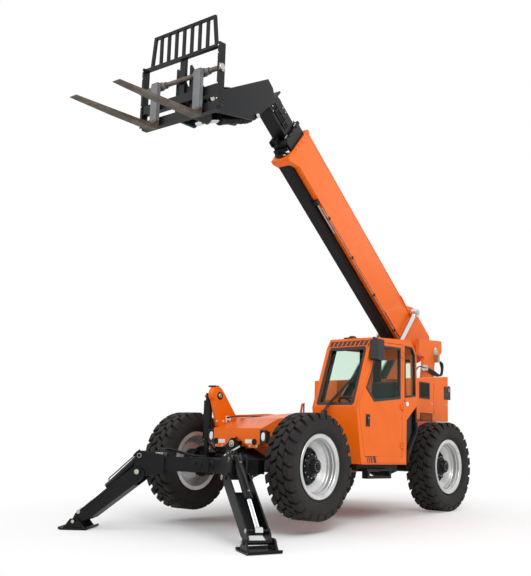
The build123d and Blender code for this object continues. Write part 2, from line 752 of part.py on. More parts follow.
apex_x = leg_pivot_x - (leg_pivot_y) * sin(radians(splay)) / cos(radians(splay))
with BuildPart() as outrigger_frame:
    add(arm_left.part)
    mirror(arm_left.part, about=Plane.XZ)
    with BuildSketch(Plane.XY.offset(arm_bottom_z)):
        Polygon((front_plate_x + 70, -170), (apex_x + 60, -120), (apex_x + 60, 120),
                (front_plate_x + 70, 170), align=None)
        Polygon((front_plate_x + 70, -560), (front_plate_x + 200, -560),
                (front_plate_x + 200, 560), (front_plate_x + 70, 560), align=None)
    extrude(amount=arm_top_z - arm_bottom_z)
    with BuildSketch(Plane.YZ.offset(front_plate_x + 20)):
        with Locations((0, 870)):
            Rectangle(170, 170, rotation=45)
        Polygon((-130, arm_top_z - 60), (130, arm_top_z - 60), (90, 850), (-90, 850), align=None)
    extrude(amount=80)
    with BuildSketch(Plane.YZ.offset(front_plate_x + 20)):
        Polygon((-130, arm_top_z - 60), (130, arm_top_z - 60), (130, arm_bottom_z + 20),
                (-130, arm_bottom_z + 20), align=None)
    extrude(amount=60)
    # neck that ties the hanger to the frame through the notch
    with BuildSketch(Plane.YZ.offset(front_plate_x - front_plate_thickness)):
        Polygon((-60, arch_z), (60, arch_z), (60, arch_z + 65), (-60, arch_z + 65), align=None)
    extrude(amount=80)
keep(outrigger_frame, "outrigger_frame")

with BuildPart() as leg_left:
    half = leg_width / 2
    with BuildSketch(leg_plane()):
        with BuildLine():
            Polyline((0, -105), (leg_length - 190, -92), (leg_length + 10, -30))
            Line((leg_length + 10, -30), (leg_length + 30, 30))
            Polyline((leg_length + 30, 30), (leg_length - 60, 75), (120, 85), (0, 70), (-60, 20),
                     (-60, -60), (0, -105))
        make_face()
    extrude(amount=half, both=True)
    with BuildSketch(leg_plane()):
        Polygon((-200, 300), (-200, -200), (150, -200), (150, -91), (leg_length - 200, -80),
                (leg_length - 160, -200), (leg_length + 200, -200), (leg_length + 200, 300),
                align=None)
    extrude(amount=half - leg_wall, both=True, mode=Mode.SUBTRACT)
    with BuildSketch(leg_plane()):
        Circle(28 + run_gap)
    extrude(amount=leg_width, both=True, mode=Mode.SUBTRACT)
    with BuildSketch(leg_plane()):
        with Locations((leg_length, 0)):
            Circle(foot_pin_radius)
    extrude(amount=half + 45, both=True)
keep_leg = leg_left.part
with BuildPart() as leg_right:
    mirror(keep_leg, about=Plane.XZ)
keep(leg_left, "outrigger_leg_left")
keep(leg_right, "outrigger_leg_right")

# Feet: flat on the ground, so drawn without the stance
foot_pin = (STANCE_LEVEL * Location(leg_point(leg_length, 0))).position
foot_axis_end = (STANCE_LEVEL * Location(tuple(Vector(*leg_point(leg_length, 0))
                                              + leg_plane().z_dir * 100))).position
foot_yaw = degrees(atan2(-(foot_axis_end.Y - foot_pin.Y), foot_axis_end.X - foot_pin.X))


def foot_plane(offset=0.0):
    a = radians(foot_yaw)
    normal = Vector(cos(a), -sin(a), 0)
    origin = Vector(foot_pin.X, foot_pin.Y, 0) + normal * offset
    return Plane(origin=origin, x_dir=(sin(a), cos(a), 0), z_dir=normal)


with BuildPart() as foot_left:
    with BuildSketch(foot_plane()):
        Polygon((-foot_length / 2, 14), (30 - foot_length / 2, 0), (foot_length / 2 - 30, 0),
                (foot_length / 2, 14), (foot_length / 2, 40), (foot_length / 2 - 20, 40),
                (foot_length / 2 - 40, foot_plate), (40 - foot_length / 2, foot_plate),
                (20 - foot_length / 2, 40), (-foot_length / 2, 40), align=None)
    extrude(amount=foot_width / 2, both=True)
    for face in (1, -1):
        with BuildSketch(foot_plane(face * (leg_width / 2 + 24))):
            Polygon((-150, foot_plate - 5), (150, foot_plate - 5), (50, foot_pin.Z + 40),
                    (-50, foot_pin.Z + 40), align=None)
        extrude(amount=12, both=True)
    pin_direction = foot_axis_end - foot_pin
    with BuildSketch(Plane(origin=foot_pin - pin_direction * 3, z_dir=pin_direction)):
        Circle(foot_pin_radius + run_gap)
    extrude(amount=600, mode=Mode.SUBTRACT)
foot_solid = foot_left.part
with BuildPart() as foot_right:
    mirror(foot_solid, about=Plane.XZ)
keep(foot_left, "outrigger_foot_left", GROUND)
keep(foot_right, "outrigger_foot_right", GROUND)

leg_cylinder_base = (leg_pivot_x, leg_pivot_y, leg_pivot_z + leg_cylinder_up)
leg_eye = leg_point(leg_eye_along, leg_eye_up)
leg_pin_normal = leg_plane().z_dir
barrel_solid = barrel(leg_cylinder_base, leg_eye, leg_barrel_length, leg_barrel_radius,
                      leg_rod_radius, Plane(origin=leg_cylinder_base, z_dir=leg_pin_normal))
with BuildPart() as leg_barrel_left:
    add(barrel_solid.part)
    with BuildSketch(Plane(origin=leg_cylinder_base, z_dir=leg_pin_normal)):
        Circle(24 + run_gap)
    extrude(amount=leg_width, both=True, mode=Mode.SUBTRACT)
leg_rod_left = rod(leg_cylinder_base, leg_eye, leg_closed_span, leg_barrel_length, leg_rod_radius,
                   Plane(origin=leg_eye, z_dir=leg_pin_normal), leg_eye_radius, leg_eye_width)
barrel_left_solid = leg_barrel_left.part
rod_left_solid = leg_rod_left.part
with BuildPart() as leg_barrel_right:
    mirror(barrel_left_solid, about=Plane.XZ)
with BuildPart() as leg_rod_right:
    mirror(rod_left_solid, about=Plane.XZ)
keep(leg_barrel_left, "outrigger_barrel_left")
keep(leg_barrel_right, "outrigger_barrel_right")
keep(leg_rod_left, "outrigger_rod_left")
keep(leg_rod_right, "outrigger_rod_right")

# Cab: one shell, split at its door
cab_mid_y = (cab_left_y + cab_right_y) / 2
cab_half = (cab_left_y - cab_right_y) / 2
cab_profile = [(cab_rear_low_x + 10, cab_floor_z), (cab_front_low_x, cab_floor_z),
               (cab_belt_x, cab_belt_z), (cab_top_front_x + 90, cab_top_front_z - 140),
               (cab_top_front_x, cab_top_front_z), (cab_top_rear_x, cab_top_rear_z),
               (cab_bend_x, cab_bend_z), (cab_rear_belt_x, cab_rear_belt_z),
               (cab_rear_low_x, cab_rear_low_z)]
door_outline = [(-1115, 800), (-2060, 800), (-2060, 2395), (-1335, 2370), (-1215, 1960),
                (-960, 1500), (-1000, 1250)]
door_window = [(-1330, 1545), (-2010, 1620), (-2010, 2345), (-1390, 2325), (-1260, 1960),
               (-1130, 1715)]
rear_side_window = [(-2130, 1635), (-2440, 1675), (-2420, 2290), (-2340, 2390), (-2130, 2395)]
windscreen_low = 1490
windscreen_high = 2270
door_hinge_x = -2075
door_hinge_out = 14
glass = 8
glass_gap = 0.5

with BuildPart() as cab_shell:
    with BuildSketch(side(cab_mid_y)):
        Polygon(*cab_profile, align=None)
    extrude(amount=cab_half, both=True)
    with BuildSketch(side(cab_mid_y)):
        Polygon(*cab_profile, align=None)
        offset(amount=-cab_wall, kind=Kind.INTERSECTION, mode=Mode.REPLACE)
    extrude(amount=cab_half - cab_wall, both=True, mode=Mode.SUBTRACT)
    # door opening through the left wall
    with BuildSketch(side(cab_left_y)):
        Polygon(*door_outline, align=None)
        offset(amount=joint_gap, kind=Kind.INTERSECTION, mode=Mode.REPLACE)
    extrude(amount=2 * cab_wall, both=True, mode=Mode.SUBTRACT)
    with BuildSketch(side(cab_left_y)):
        Polygon(*rear_side_window, align=None)
    extrude(amount=2 * cab_wall, both=True, mode=Mode.SUBTRACT)
    # right window, windscreen, rear and roof openings
    with BuildSketch(side(cab_right_y)):
        Polygon((-1150, 1560), (-2380, 1660), (-2340, 2330), (-1330, 2290), align=None)
    extrude(amount=2 * cab_wall, both=True, mode=Mode.SUBTRACT)
    with BuildSketch(Plane.YZ.offset(cab_top_front_x - 100)):
        with Locations((cab_mid_y, (windscreen_low + windscreen_high) / 2)):
            Rectangle(2 * cab_half - 150, windscreen_high - windscreen_low)
    extrude(amount=800, mode=Mode.SUBTRACT)
    with BuildSketch(Plane.YZ.offset(cab_bend_x - 200)):
        with Locations((cab_mid_y, 1950)):
            Rectangle(2 * cab_half - 170, 560)
    extrude(amount=400, mode=Mode.SUBTRACT)
keep(cab_shell, "cab_shell")

with BuildPart() as cab_door:
    with BuildSketch(side(cab_left_y - cab_wall / 2)):
        Polygon(*door_outline, align=None)
        Polygon(*door_window, align=None, mode=Mode.SUBTRACT)
    extrude(amount=cab_wall / 2, both=True)
    for hinge_z in (950, 1500, 2250):
        with Locations((door_hinge_x, cab_left_y + door_hinge_out, hinge_z)):
            Cylinder(door_hinge_out - run_gap, 90)
        with BuildSketch(Plane.XY.offset(hinge_z - 35)):
            Polygon((door_hinge_x, cab_left_y + 2), (-2058, cab_left_y + 2), (-2058, cab_left_y - 2),
                    (-2010, cab_left_y - 2), (-2010, cab_left_y + 12),
                    (door_hinge_x, cab_left_y + 12), align=None)
        extrude(amount=70)
keep(cab_door, "cab_door")


def pane(points, y, inset):
    with BuildPart() as piece:
        with BuildSketch(side(y)):
            Polygon(*points, align=None)
            offset(amount=-inset, kind=Kind.INTERSECTION, mode=Mode.REPLACE)
        extrude(amount=glass / 2, both=True)
    return piece


with BuildPart() as door_glass:
    add(pane(door_window, cab_left_y - cab_wall / 2, glass_gap).part)
keep(door_glass, "door_glass")

with BuildPart() as cab_glass:
    add(pane(rear_side_window, cab_left_y - cab_wall / 2, glass_gap).part)
    add(pane([(-1150, 1560), (-2380, 1660), (-2340, 2330), (-1330, 2290)],
             cab_right_y + cab_wall / 2, glass_gap).part)
    with BuildSketch(side(cab_mid_y)):
        Polygon((-937, 1490.5), (-945, 1490.5), (-1243, 2269.5), (-1235, 2269.5), align=None)
    extrude(amount=cab_half - 75 - glass_gap, both=True)
    with BuildSketch(side(cab_mid_y)):
        Polygon((-2460, 1670.5), (-2468, 1670.5), (-2449, 2229.5), (-2441, 2229.5), align=None)
    extrude(amount=cab_half - 85 - glass_gap, both=True)
keep(cab_glass, "cab_glass")

with BuildPart() as seat:
    with BuildSketch(side(cab_mid_y)):
        Polygon((-1620, 1150), (-2100, 1150), (-2230, 1860), (-2130, 1900), (-2010, 1290),
                (-1620, 1310), align=None)
    extrude(amount=240, both=True)
    with BuildSketch(Plane.XY.offset(cab_floor_z + cab_wall)):
        with Locations((-1860, cab_mid_y)):
            Rectangle(360, 340)
    extrude(amount=1150 - cab_floor_z - cab_wall)
keep(seat, "seat")

with BuildPart() as steering_column:
    with BuildSketch(side(cab_mid_y)):
        Polygon((-1090, cab_floor_z + cab_wall), (-1290, cab_floor_z + cab_wall), (-1290, 1150),
                (-1190, 1420), (-1020, 1440), (-1010, 1250), align=None)
    extrude(amount=180, both=True)
    with BuildSketch(Plane(origin=(-1330, cab_mid_y, 1500), z_dir=(-0.45, 0, 0.89))):
        Circle(200)
        Circle(172, mode=Mode.SUBTRACT)
        Rectangle(370, 34)
        Circle(45)
    extrude(amount=26)
    with BuildSketch(Plane(origin=(-1330, cab_mid_y, 1502), z_dir=(0.45, 0, -0.89))):
        Circle(26)
    extrude(amount=260)
keep(steering_column, "steering_column")

with BuildPart() as cab_mount:
    with BuildSketch(side(cab_mid_y - 60)):
        Polygon((-1100, 600), (-2140, 600), (-2140, cab_floor_z), (-1100, cab_floor_z), align=None)
    extrude(amount=cab_half - 65, both=True)
    with BuildSketch(side(0)):
        Polygon((-1300, 600), (-2000, 600), (-2000, 690), (-1300, 690), align=None)
    extrude(amount=-(cab_right_y + 30))
    with BuildSketch(side(frame_half_width / 2)):
        Polygon((-1200, 600), (-2100, 600), (-2100, 690), (-1200, 690), align=None)
    extrude(amount=-(frame_half_width / 2 + 20))
    with BuildSketch(side(0)):
        Rectangle(9000, 9000)
    extrude(amount=-frame_half_width, mode=Mode.SUBTRACT)
    # step below the door
    with BuildSketch(side(cab_left_y - 60)):
        Polygon((-1210, 600), (-1210, 500), (-1800, 500), (-1800, 600), (-1750, 600),
                (-1750, 530), (-1260, 530), (-1260, 600), align=None)
    extrude(amount=50, both=True)
    with BuildSketch(Plane.XY.offset(600)):
        Polygon((-1180, 800), (-1830, 800), (-1830, cab_left_y - 10), (-1180, cab_left_y - 10),
                align=None)
    extrude(amount=30)
keep(cab_mount, "cab_mount")

with BuildPart() as mirror_left:
    with BuildSketch(side(cab_left_y + 100)):
        with Locations((-1235, 2240)):
            RectangleRounded(150, 290, 30)
    extrude(amount=70, both=True)
    with Locations((-1290, cab_left_y + 15.2, 2400)):
        Box(30, 30, 60)
    with BuildSketch(Plane.XZ.offset(-(cab_left_y + 0.2))):
        with Locations((-1290, 2350)):
            Rectangle(30, 120)
    extrude(amount=-60)
keep(mirror_left, "mirror")

# Boxes over the rear tyres, drawn on the left and mirrored
box_half = (box_outer_y - frame_half_width) / 2
box_mid_y = (frame_half_width + box_outer_y) / 2
with BuildPart() as rear_boxes:
    with BuildSketch(side(box_mid_y)):
        Polygon((box_front_x, box_bottom_z), (box_rear_x, box_bottom_z),
                (box_rear_x, box_rear_z), (box_front_x, box_front_z), align=None)
    extrude(amount=box_half, both=True)
    with BuildSketch(side(box_mid_y)):
        Polygon((box_front_x - 20, box_bottom_z + 20), (box_rear_x + 20, box_bottom_z + 20),
                (box_rear_x + 20, box_rear_z - 20), (box_front_x - 20, box_front_z - 20),
                align=None)
    extrude(amount=box_half - 20, both=True, mode=Mode.SUBTRACT)
    # bracket down to the frame
    with BuildSketch(side(frame_half_width + 15)):
        Polygon((-2700, 1150), (-3900, 1150), (-3900, box_bottom_z), (-2700, box_bottom_z),
                align=None)
    extrude(amount=15, both=True)
    mirror(about=Plane.XZ)
keep(rear_boxes, "rear_boxes")

# Engine on the right side between the wheels: tray, lid and the engine as one block
with BuildPart() as engine_tray:
    with BuildSketch(Plane.YZ.offset(engine_front_x)):
        Polygon((-frame_half_width, engine_bottom_z), (-engine_outer_y, engine_bottom_z),
                (-engine_outer_y, engine_bottom_z + 260), (30 - engine_outer_y, engine_bottom_z + 260),
                (30 - engine_outer_y, engine_bottom_z + 30), (-frame_half_width - 30, engine_bottom_z + 30),
                (-frame_half_width - 30, engine_top_z - 30), (-frame_half_width, engine_top_z - 30),
                align=None)
    extrude(amount=engine_rear_x - engine_front_x)
    for wall_x in (engine_front_x, engine_rear_x + 30):
        with BuildSketch(Plane.YZ.offset(wall_x)):
            Polygon((-frame_half_width, engine_bottom_z), (-engine_outer_y, engine_bottom_z),
                    (-engine_outer_y, engine_bottom_z + 260),
                    (-frame_half_width, engine_bottom_z + 260), align=None)
        extrude(amount=-30)
keep(engine_tray, "engine_tray")

with BuildPart() as engine_lid:
    with BuildSketch(Plane.YZ.offset(engine_front_x)):
        Polygon((-frame_half_width - 36, engine_top_z - 20), (-frame_half_width - 36, engine_top_z),
                (150 - engine_outer_y, engine_top_z), (-engine_outer_y, engine_top_z - 150),
                (-engine_outer_y, engine_bottom_z + 266), (20 - engine_outer_y, engine_bottom_z + 266),
                (20 - engine_outer_y, engine_top_z - 158), (158 - engine_outer_y, engine_top_z - 20),
                align=None)
    extrude(amount=engine_rear_x - engine_front_x)
    for wall_x in (engine_front_x, engine_rear_x + 20):
        with BuildSketch(Plane.YZ.offset(wall_x)):
            Polygon((-frame_half_width - 36, engine_top_z), (150 - engine_outer_y, engine_top_z),
                    (-engine_outer_y, engine_top_z - 150), (-engine_outer_y, engine_bottom_z + 266),
                    (-frame_half_width - 36, engine_bottom_z + 266), align=None)
        extrude(amount=-20)
    for hinge_x in (engine_front_x - 200, (engine_front_x + engine_rear_x) / 2, engine_rear_x + 200):
        with BuildSketch(Plane.YZ.offset(hinge_x)):
            with Locations((-frame_half_width - lid_hinge_out, engine_top_z - lid_hinge_drop)):
                Circle(lid_hinge_radius)
                Rectangle(40, 12, align=(Align.MAX, Align.CENTER))
        extrude(amount=60, both=True)
keep(engine_lid, "engine_lid")

with BuildPart() as engine:
    with Locations(((engine_front_x + engine_rear_x) / 2, -760, engine_bottom_z + 30)):
        Box(950, 520, 620, align=(Align.CENTER, Align.CENTER, Align.MIN))
keep(engine, "engine")

# Lamps
with BuildPart() as headlamps:
    for sign in (1, -1):
        with Locations((front_plate_x - 49, sign * (frame_half_width + 56.5), 1010)):
            Box(88, 91, 150)
keep(headlamps, "headlamps")
with BuildPart() as tail_lamps:
    for sign in (1, -1):
        with Locations((box_rear_x - 35, sign * (box_outer_y - 90), 1830)):
            Box(70, 170, 210)
keep(tail_lamps, "tail_lamps")
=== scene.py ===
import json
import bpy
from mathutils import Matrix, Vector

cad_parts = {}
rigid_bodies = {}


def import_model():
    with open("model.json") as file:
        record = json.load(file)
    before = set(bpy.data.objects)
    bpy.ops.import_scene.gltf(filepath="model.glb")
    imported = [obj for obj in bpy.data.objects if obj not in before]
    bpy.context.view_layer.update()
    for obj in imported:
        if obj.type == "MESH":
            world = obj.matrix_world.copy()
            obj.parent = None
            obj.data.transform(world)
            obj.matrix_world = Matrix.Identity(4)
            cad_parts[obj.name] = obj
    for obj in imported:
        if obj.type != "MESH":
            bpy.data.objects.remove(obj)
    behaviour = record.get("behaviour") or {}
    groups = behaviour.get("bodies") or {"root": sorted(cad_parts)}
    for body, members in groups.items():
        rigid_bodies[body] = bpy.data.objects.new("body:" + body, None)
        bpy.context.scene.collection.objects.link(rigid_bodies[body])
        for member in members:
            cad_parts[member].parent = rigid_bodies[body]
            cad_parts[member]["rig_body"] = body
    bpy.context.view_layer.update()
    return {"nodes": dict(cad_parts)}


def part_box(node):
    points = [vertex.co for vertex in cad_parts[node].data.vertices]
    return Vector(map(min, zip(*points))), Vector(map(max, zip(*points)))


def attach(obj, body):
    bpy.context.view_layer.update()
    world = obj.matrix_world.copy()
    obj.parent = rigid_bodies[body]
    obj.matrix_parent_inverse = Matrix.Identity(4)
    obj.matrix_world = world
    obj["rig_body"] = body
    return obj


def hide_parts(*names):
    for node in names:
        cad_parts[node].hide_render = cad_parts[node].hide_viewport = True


bl_info = {
    "name": "Telehandler looks",
    "version": (1, 0, 0),
    "blender": (4, 5, 0),
    "location": "View3D > Sidebar > Telehandler",
    "description": "Finishes, tread, glazing, lamps, hoses and small fittings of the telehandler",
    "category": "Object",
}

from math import cos, pi, radians, sin, tau

import bmesh
import bpy
from mathutils import Matrix, Vector

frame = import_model()

# Sizes that pieces share, in metres, on the level chassis: x forward from the front axle,
# y to the left, z up from the ground under the rear tyres
WHEELBASE = 3.28
WHEEL_Y = 1.065
TYRE_RADIUS = 0.665
NOSE_UP = radians(2.68)
BOOM_PIVOT = (-4.4, 2.55)
BOOM_ANGLE = radians(38.4)
LEG_PIVOT = (1.093, 0.828, 0.525)
SPLAY = radians(29.5)
LEG_DROP = radians(38.7)
PHOTO_SIZE = (531, 576)


def rear_wheel_x():
    """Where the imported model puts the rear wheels, along x."""
    low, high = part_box("tyre_rear_left")
    return (low.x + high.x) / 2


REAR_X = rear_wheel_x()
STANCE = (Matrix.Translation((REAR_X, 0, TYRE_RADIUS)) @ Matrix.Rotation(-NOSE_UP, 4, "Y")
          @ Matrix.Translation((WHEELBASE, 0, -TYRE_RADIUS)))
GROUND = Matrix.Translation((REAR_X + WHEELBASE, 0, 0))
# Along the boom: x from its pivot to its head, y left, z up from the pivot line
BOOM = STANCE @ Matrix.Translation((BOOM_PIVOT[0], 0, BOOM_PIVOT[1])) @ Matrix.Rotation(-BOOM_ANGLE, 4, "Y")


def leg_frame(side):
    """Frame at a leg's pivot: x down the leg, y out of its open side, z along its pins."""
    down = Vector((sin(SPLAY) * cos(LEG_DROP), side * cos(SPLAY) * cos(LEG_DROP), -sin(LEG_DROP)))
    pin = Vector((side * cos(SPLAY), -sin(SPLAY), 0))
    out = pin.cross(down)
    turn = Matrix((down, out, pin)).transposed().to_4x4()
    return STANCE @ Matrix.Translation((LEG_PIVOT[0], side * LEG_PIVOT[1], LEG_PIVOT[2])) @ turn


# Finishes
def linear(hex_colour):
    """Linear RGBA of an sRGB hex value such as #EE6D18."""
    values = [int(hex_colour[i:i + 2], 16) / 255 for i in (1, 3, 5)]
    return tuple(v / 12.92 if v <= 0.04045 else ((v + 0.055) / 1.055) ** 2.4 for v in values) + (1.0,)


def add(tree, kind, values=None, links=None, **settings):
    """Add a node with its settings, socket values and links."""
    made = tree.nodes.new(kind)
    for key, value in settings.items():
        setattr(made, key, value)
    for key, value in (values or {}).items():
        made.inputs[key].default_value = value
    for key, (source, socket) in (links or {}).items():
        tree.links.new(source.outputs[socket], made.inputs[key])
    return made


def surface(name, colour, roughness, metallic=0.0, second=None, patch_mm=400.0, patch=0.5,
            grain_mm=3.0, bump=0.1, rough_spread=0.08, edge=None, edge_width=0.0, **sockets):
    """Procedural finish: a base colour, slow patches of a second one, fine grain and edge wear."""
    material = bpy.data.materials.new(name)
    material.use_nodes = True
    tree = material.node_tree
    shader = tree.nodes["Principled BSDF"]
    for key, value in sockets.items():
        shader.inputs[key.replace("_", " ")].default_value = value
    shader.inputs["Metallic"].default_value = metallic
    place = add(tree, "ShaderNodeTexCoord")
    slow = add(tree, "ShaderNodeTexNoise", {"Scale": 1000 / patch_mm, "Detail": 5.0, "Roughness": 0.6},
               {"Vector": (place, "Object")})
    ramp = add(tree, "ShaderNodeMapRange", {"From Min": 0.4, "From Max": 0.65, "To Max": patch},
               {"Value": (slow, "Fac")})
    mixed = add(tree, "ShaderNodeMix", {6: linear(colour), 7: linear(second or colour)},
                {0: (ramp, "Result")}, data_type="RGBA")
    last = (mixed, 2)
    if edge:
        worn = add(tree, "ShaderNodeBevel", {"Radius": edge_width}, samples=4)
        flat = add(tree, "ShaderNodeNewGeometry")
        apart = add(tree, "ShaderNodeVectorMath", None,
                    {0: (worn, "Normal"), 1: (flat, "Normal")}, operation="DISTANCE")
        chips = add(tree, "ShaderNodeTexNoise", {"Scale": 60.0, "Detail": 4.0},
                    {"Vector": (place, "Object")})
        reach = add(tree, "ShaderNodeMath", None, {0: (apart, "Value"), 1: (chips, "Fac")},
                    operation="MULTIPLY")
        cut = add(tree, "ShaderNodeMapRange", {"From Min": 0.12, "From Max": 0.3, "To Max": 0.8},
                  {"Value": (reach, "Value")})
        over = add(tree, "ShaderNodeMix", {7: linear(edge)}, {0: (cut, "Result"), 6: last},
                   data_type="RGBA")
        last = (over, 2)
    tree.links.new(last[0].outputs[last[1]], shader.inputs["Base Color"])
    grain = add(tree, "ShaderNodeTexNoise", {"Scale": 1000 / grain_mm, "Detail": 3.0},
                {"Vector": (place, "Object")})
    shade = add(tree, "ShaderNodeMapRange",
                {"To Min": roughness - rough_spread, "To Max": roughness + rough_spread},
                {"Value": (slow, "Fac")})
    tree.links.new(shade.outputs["Result"], shader.inputs["Roughness"])
    relief = add(tree, "ShaderNodeBump", {"Strength": bump, "Distance": grain_mm / 4000},
                 {"Height": (grain, "Fac")})
    tree.links.new(relief.outputs["Normal"], shader.inputs["Normal"])
    return material


def make_finishes(colours):
    """Every material of the machine, by a short key."""
    made = {
        # two-pack machine enamel, sprayed: glossy with a faint orange-peel
        "orange": surface("orange_enamel", colours["orange"], 0.34, second="#DC5F04", patch=0.35,
                          grain_mm=6, bump=0.04, edge="#8A3A10", edge_width=0.004, Coat_Weight=0.06,
                          Coat_Roughness=0.2, Specular_IOR_Level=0.22),
        # the same enamel in black on the arms and frame, tinted bluish all over as a painted sky reflection,
        # with brownish patches at random
        "black": surface("black_enamel", colours["black"], 0.42, second="#191613", patch=0.6,
                         grain_mm=6, bump=0.05, edge="#4A443C", edge_width=0.003, Coat_Weight=0.03,
                         Coat_Roughness=0.25, Specular_IOR_Level=0.18),
        # silver wheel paint: fine aluminium flake, with darker dusty patches at random
        "wheel": surface("silver_wheel_paint", colours["wheel"], 0.36, 0.55, second="#9C9A94",
                         patch=0.5, grain_mm=2, bump=0.05, edge="#7E7B74", edge_width=0.004),
        # vulcanised tread rubber: matt, brownish with road dust
        "tyre": surface("tread_rubber", colours["tyre"], 0.85, second="#231D19", patch=0.8,
                        patch_mm=160, grain_mm=5, bump=0.35),
        # hard-chromed rod: mirror bright
        "chrome": surface("hard_chrome", "#DADDE0", 0.1, 1.0, patch=0.0, grain_mm=2, bump=0.01,
                          rough_spread=0.03),
        # scuffed hot-rolled steel of the fork blades: brown film over grey
        "forged": surface("scuffed_forged_steel", "#6B6259", 0.5, 0.75, second="#4A3E33", patch=0.9,
                          patch_mm=180, grain_mm=4, bump=0.2, edge="#A39C92", edge_width=0.005),
        # zinc-plated bolts and pins: pale grey, slightly yellow
        "zinc": surface("zinc_plate", "#BDBBB2", 0.32, 0.95, second="#A7A392", patch=0.6,
                        patch_mm=40, grain_mm=1.5, bump=0.05),
        # moulded polypropylene: even, dull black
        "plastic": surface("moulded_polypropylene", "#17181A", 0.55, second="#202123",
                           grain_mm=1.2, bump=0.25),
        # hydraulic hose cover: matt rubber
        "hose": surface("hose_rubber", "#151516", 0.6, second="#1F1E1D", grain_mm=1.5, bump=0.3),
        # woven seat cloth
        "cloth": surface("seat_cloth", "#26282B", 0.9, second="#1C1D1F", patch_mm=60, grain_mm=1.5,
                         bump=0.5, Sheen_Weight=0.4),
        # grey engine enamel
        "grey": surface("grey_enamel", "#6C6E70", 0.45, second="#55565A", grain_mm=4, bump=0.1),
        # cab lining: dark, moulded and pebbled
        "lining": surface("pebbled_lining", "#1C1C1D", 0.8, second="#161617", grain_mm=3, bump=0.4),
        # mirror glass: silvered
        "mirror": surface("silvered_mirror", "#D5DBE0", 0.04, 1.0, patch=0.0, bump=0.0,
                          rough_spread=0.01),
        # clear polycarbonate over a bright reflector
        "lens": surface("lamp_lens", "#E9EDF0", 0.12, 0.0, second="#CDD3D8", grain_mm=5, bump=0.4,
                        Coat_Weight=1.0, Specular_IOR_Level=0.8),
        "red_lens": surface("red_lamp_lens", "#A2160E", 0.15, second="#7E100A", grain_mm=4, bump=0.4,
                            Coat_Weight=1.0),
        "amber_lens": surface("amber_lamp_lens", "#D9760F", 0.15, second="#B85F0A", grain_mm=4,
                              bump=0.4, Coat_Weight=1.0),
        # plain vinyl plates and patches
        "white": surface("white_vinyl", "#E8E8E6", 0.4, second="#DDDDDA", bump=0.02),
        "stripe": surface("black_vinyl", "#1B1A1A", 0.35, second="#232222", bump=0.02),
        # perforated steel mesh, black
        "mesh": surface("black_mesh_steel", "#1E1E1F", 0.5, 0.3, second="#2A2A2A", grain_mm=3,
                        bump=0.2),
    }
    made["glass"] = tinted_glass(colours["glass"])
    return made


def tinted_glass(colour):
    """Toughened cab glass: clear with a pale green tint, mirror-like at a shallow angle."""
    material = bpy.data.materials.new("tinted_cab_glass")
    material.use_nodes = True
    tree = material.node_tree
    shader = tree.nodes["Principled BSDF"]
    shader.inputs["Base Color"].default_value = linear("#9FB3A6")
    shader.inputs["Metallic"].default_value = 1.0
    shader.inputs["Roughness"].default_value = 0.03
    place = add(tree, "ShaderNodeTexCoord")
    slow = add(tree, "ShaderNodeTexNoise", {"Scale": 2.0, "Detail": 2.0}, {"Vector": (place, "Object")})
    mixed = add(tree, "ShaderNodeMix", {6: linear(colour), 7: linear("#F8FCF9")}, {0: (slow, "Fac")},
                data_type="RGBA")
    clear = add(tree, "ShaderNodeBsdfTransparent", None, {"Color": (mixed, 2)})
    shallow = add(tree, "ShaderNodeFresnel", {"IOR": 1.3})
    side = add(tree, "ShaderNodeNewGeometry")
    outer = add(tree, "ShaderNodeMath", {0: 1.0}, {1: (side, "Backfacing")}, operation="SUBTRACT")
    sheen = add(tree, "ShaderNodeMath", None, {0: (shallow, 0), 1: (outer, 0)}, operation="MULTIPLY")
    both = add(tree, "ShaderNodeMixShader", None, {0: (sheen, 0), 1: (clear, 0), 2: (shader, 0)})
    tree.links.new(both.outputs["Shader"], tree.nodes["Material Output"].inputs["Surface"])
    return material


NODE_FINISH = {
    "orange": ["chassis_frame", "levelling_horn", "boom_tower", "boom_outer", "cab_shell", "cab_door",
               "rear_boxes", "engine_lid"],
    "black": ["front_axle", "rear_axle", "outrigger_frame", "outrigger_leg_left",
              "outrigger_leg_right", "outrigger_foot_left", "outrigger_foot_right", "boom_mid",
              "boom_inner", "boom_head", "carriage", "cab_mount", "engine_tray", "lift_barrels",
              "tilt_barrel", "levelling_cylinder", "outrigger_barrel_left",
              "outrigger_barrel_right", "knuckle_front_left", "knuckle_front_right",
              "knuckle_rear_left", "knuckle_rear_right", "hub_front_left", "hub_front_right",
              "hub_rear_left", "hub_rear_right"],
    "wheel": ["rim_front_left", "rim_front_right", "rim_rear_left", "rim_rear_right"],
    "tyre": ["tyre_front_left", "tyre_front_right", "tyre_rear_left", "tyre_rear_right"],
    "chrome": ["lift_rods", "tilt_rod", "outrigger_rod_left", "outrigger_rod_right"],
    "forged": ["forks", "fork_shaft"],
    "plastic": ["mirror", "headlamps", "tail_lamps", "steering_column"],
    "cloth": ["seat"],
    "grey": ["engine"],
    "glass": ["cab_glass", "door_glass"],
}


def finish_nodes(finishes):
    """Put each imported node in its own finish."""
    for key, nodes in NODE_FINISH.items():
        for name in nodes:
            mesh = frame["nodes"][name].data
            mesh.materials.clear()
            mesh.materials.append(finishes[key])


# Shape tools
SHARP_EDGE = radians(25)
SHARP_SHADE = radians(32)
FLAT = radians(0.6)
TOUCHING = 2e-5


def on_plane(axis, a, b, along):
    """A point drawn at (a, b) on a plane across an axis, some way along it."""
    return {"x": (along, a, b), "y": (a, along, b), "z": (a, b, along)}[axis]


def join_loops(part, loops):
    """Faces between each loop of points and the next, all the way round."""
    for first, second in loops:
        for i in range(len(first)):
            j = (i + 1) % len(first)
            part.faces.new((first[i], first[j], second[j], second[i]))


def cap_and_join(part, low, high):
    """Close two loops of points into a solid."""
    part.faces.new(low)
    part.faces.new(high[::-1])
    for i in range(len(low)):
        j = (i + 1) % len(low)
        part.faces.new((low[i], high[i], high[j], low[j]))


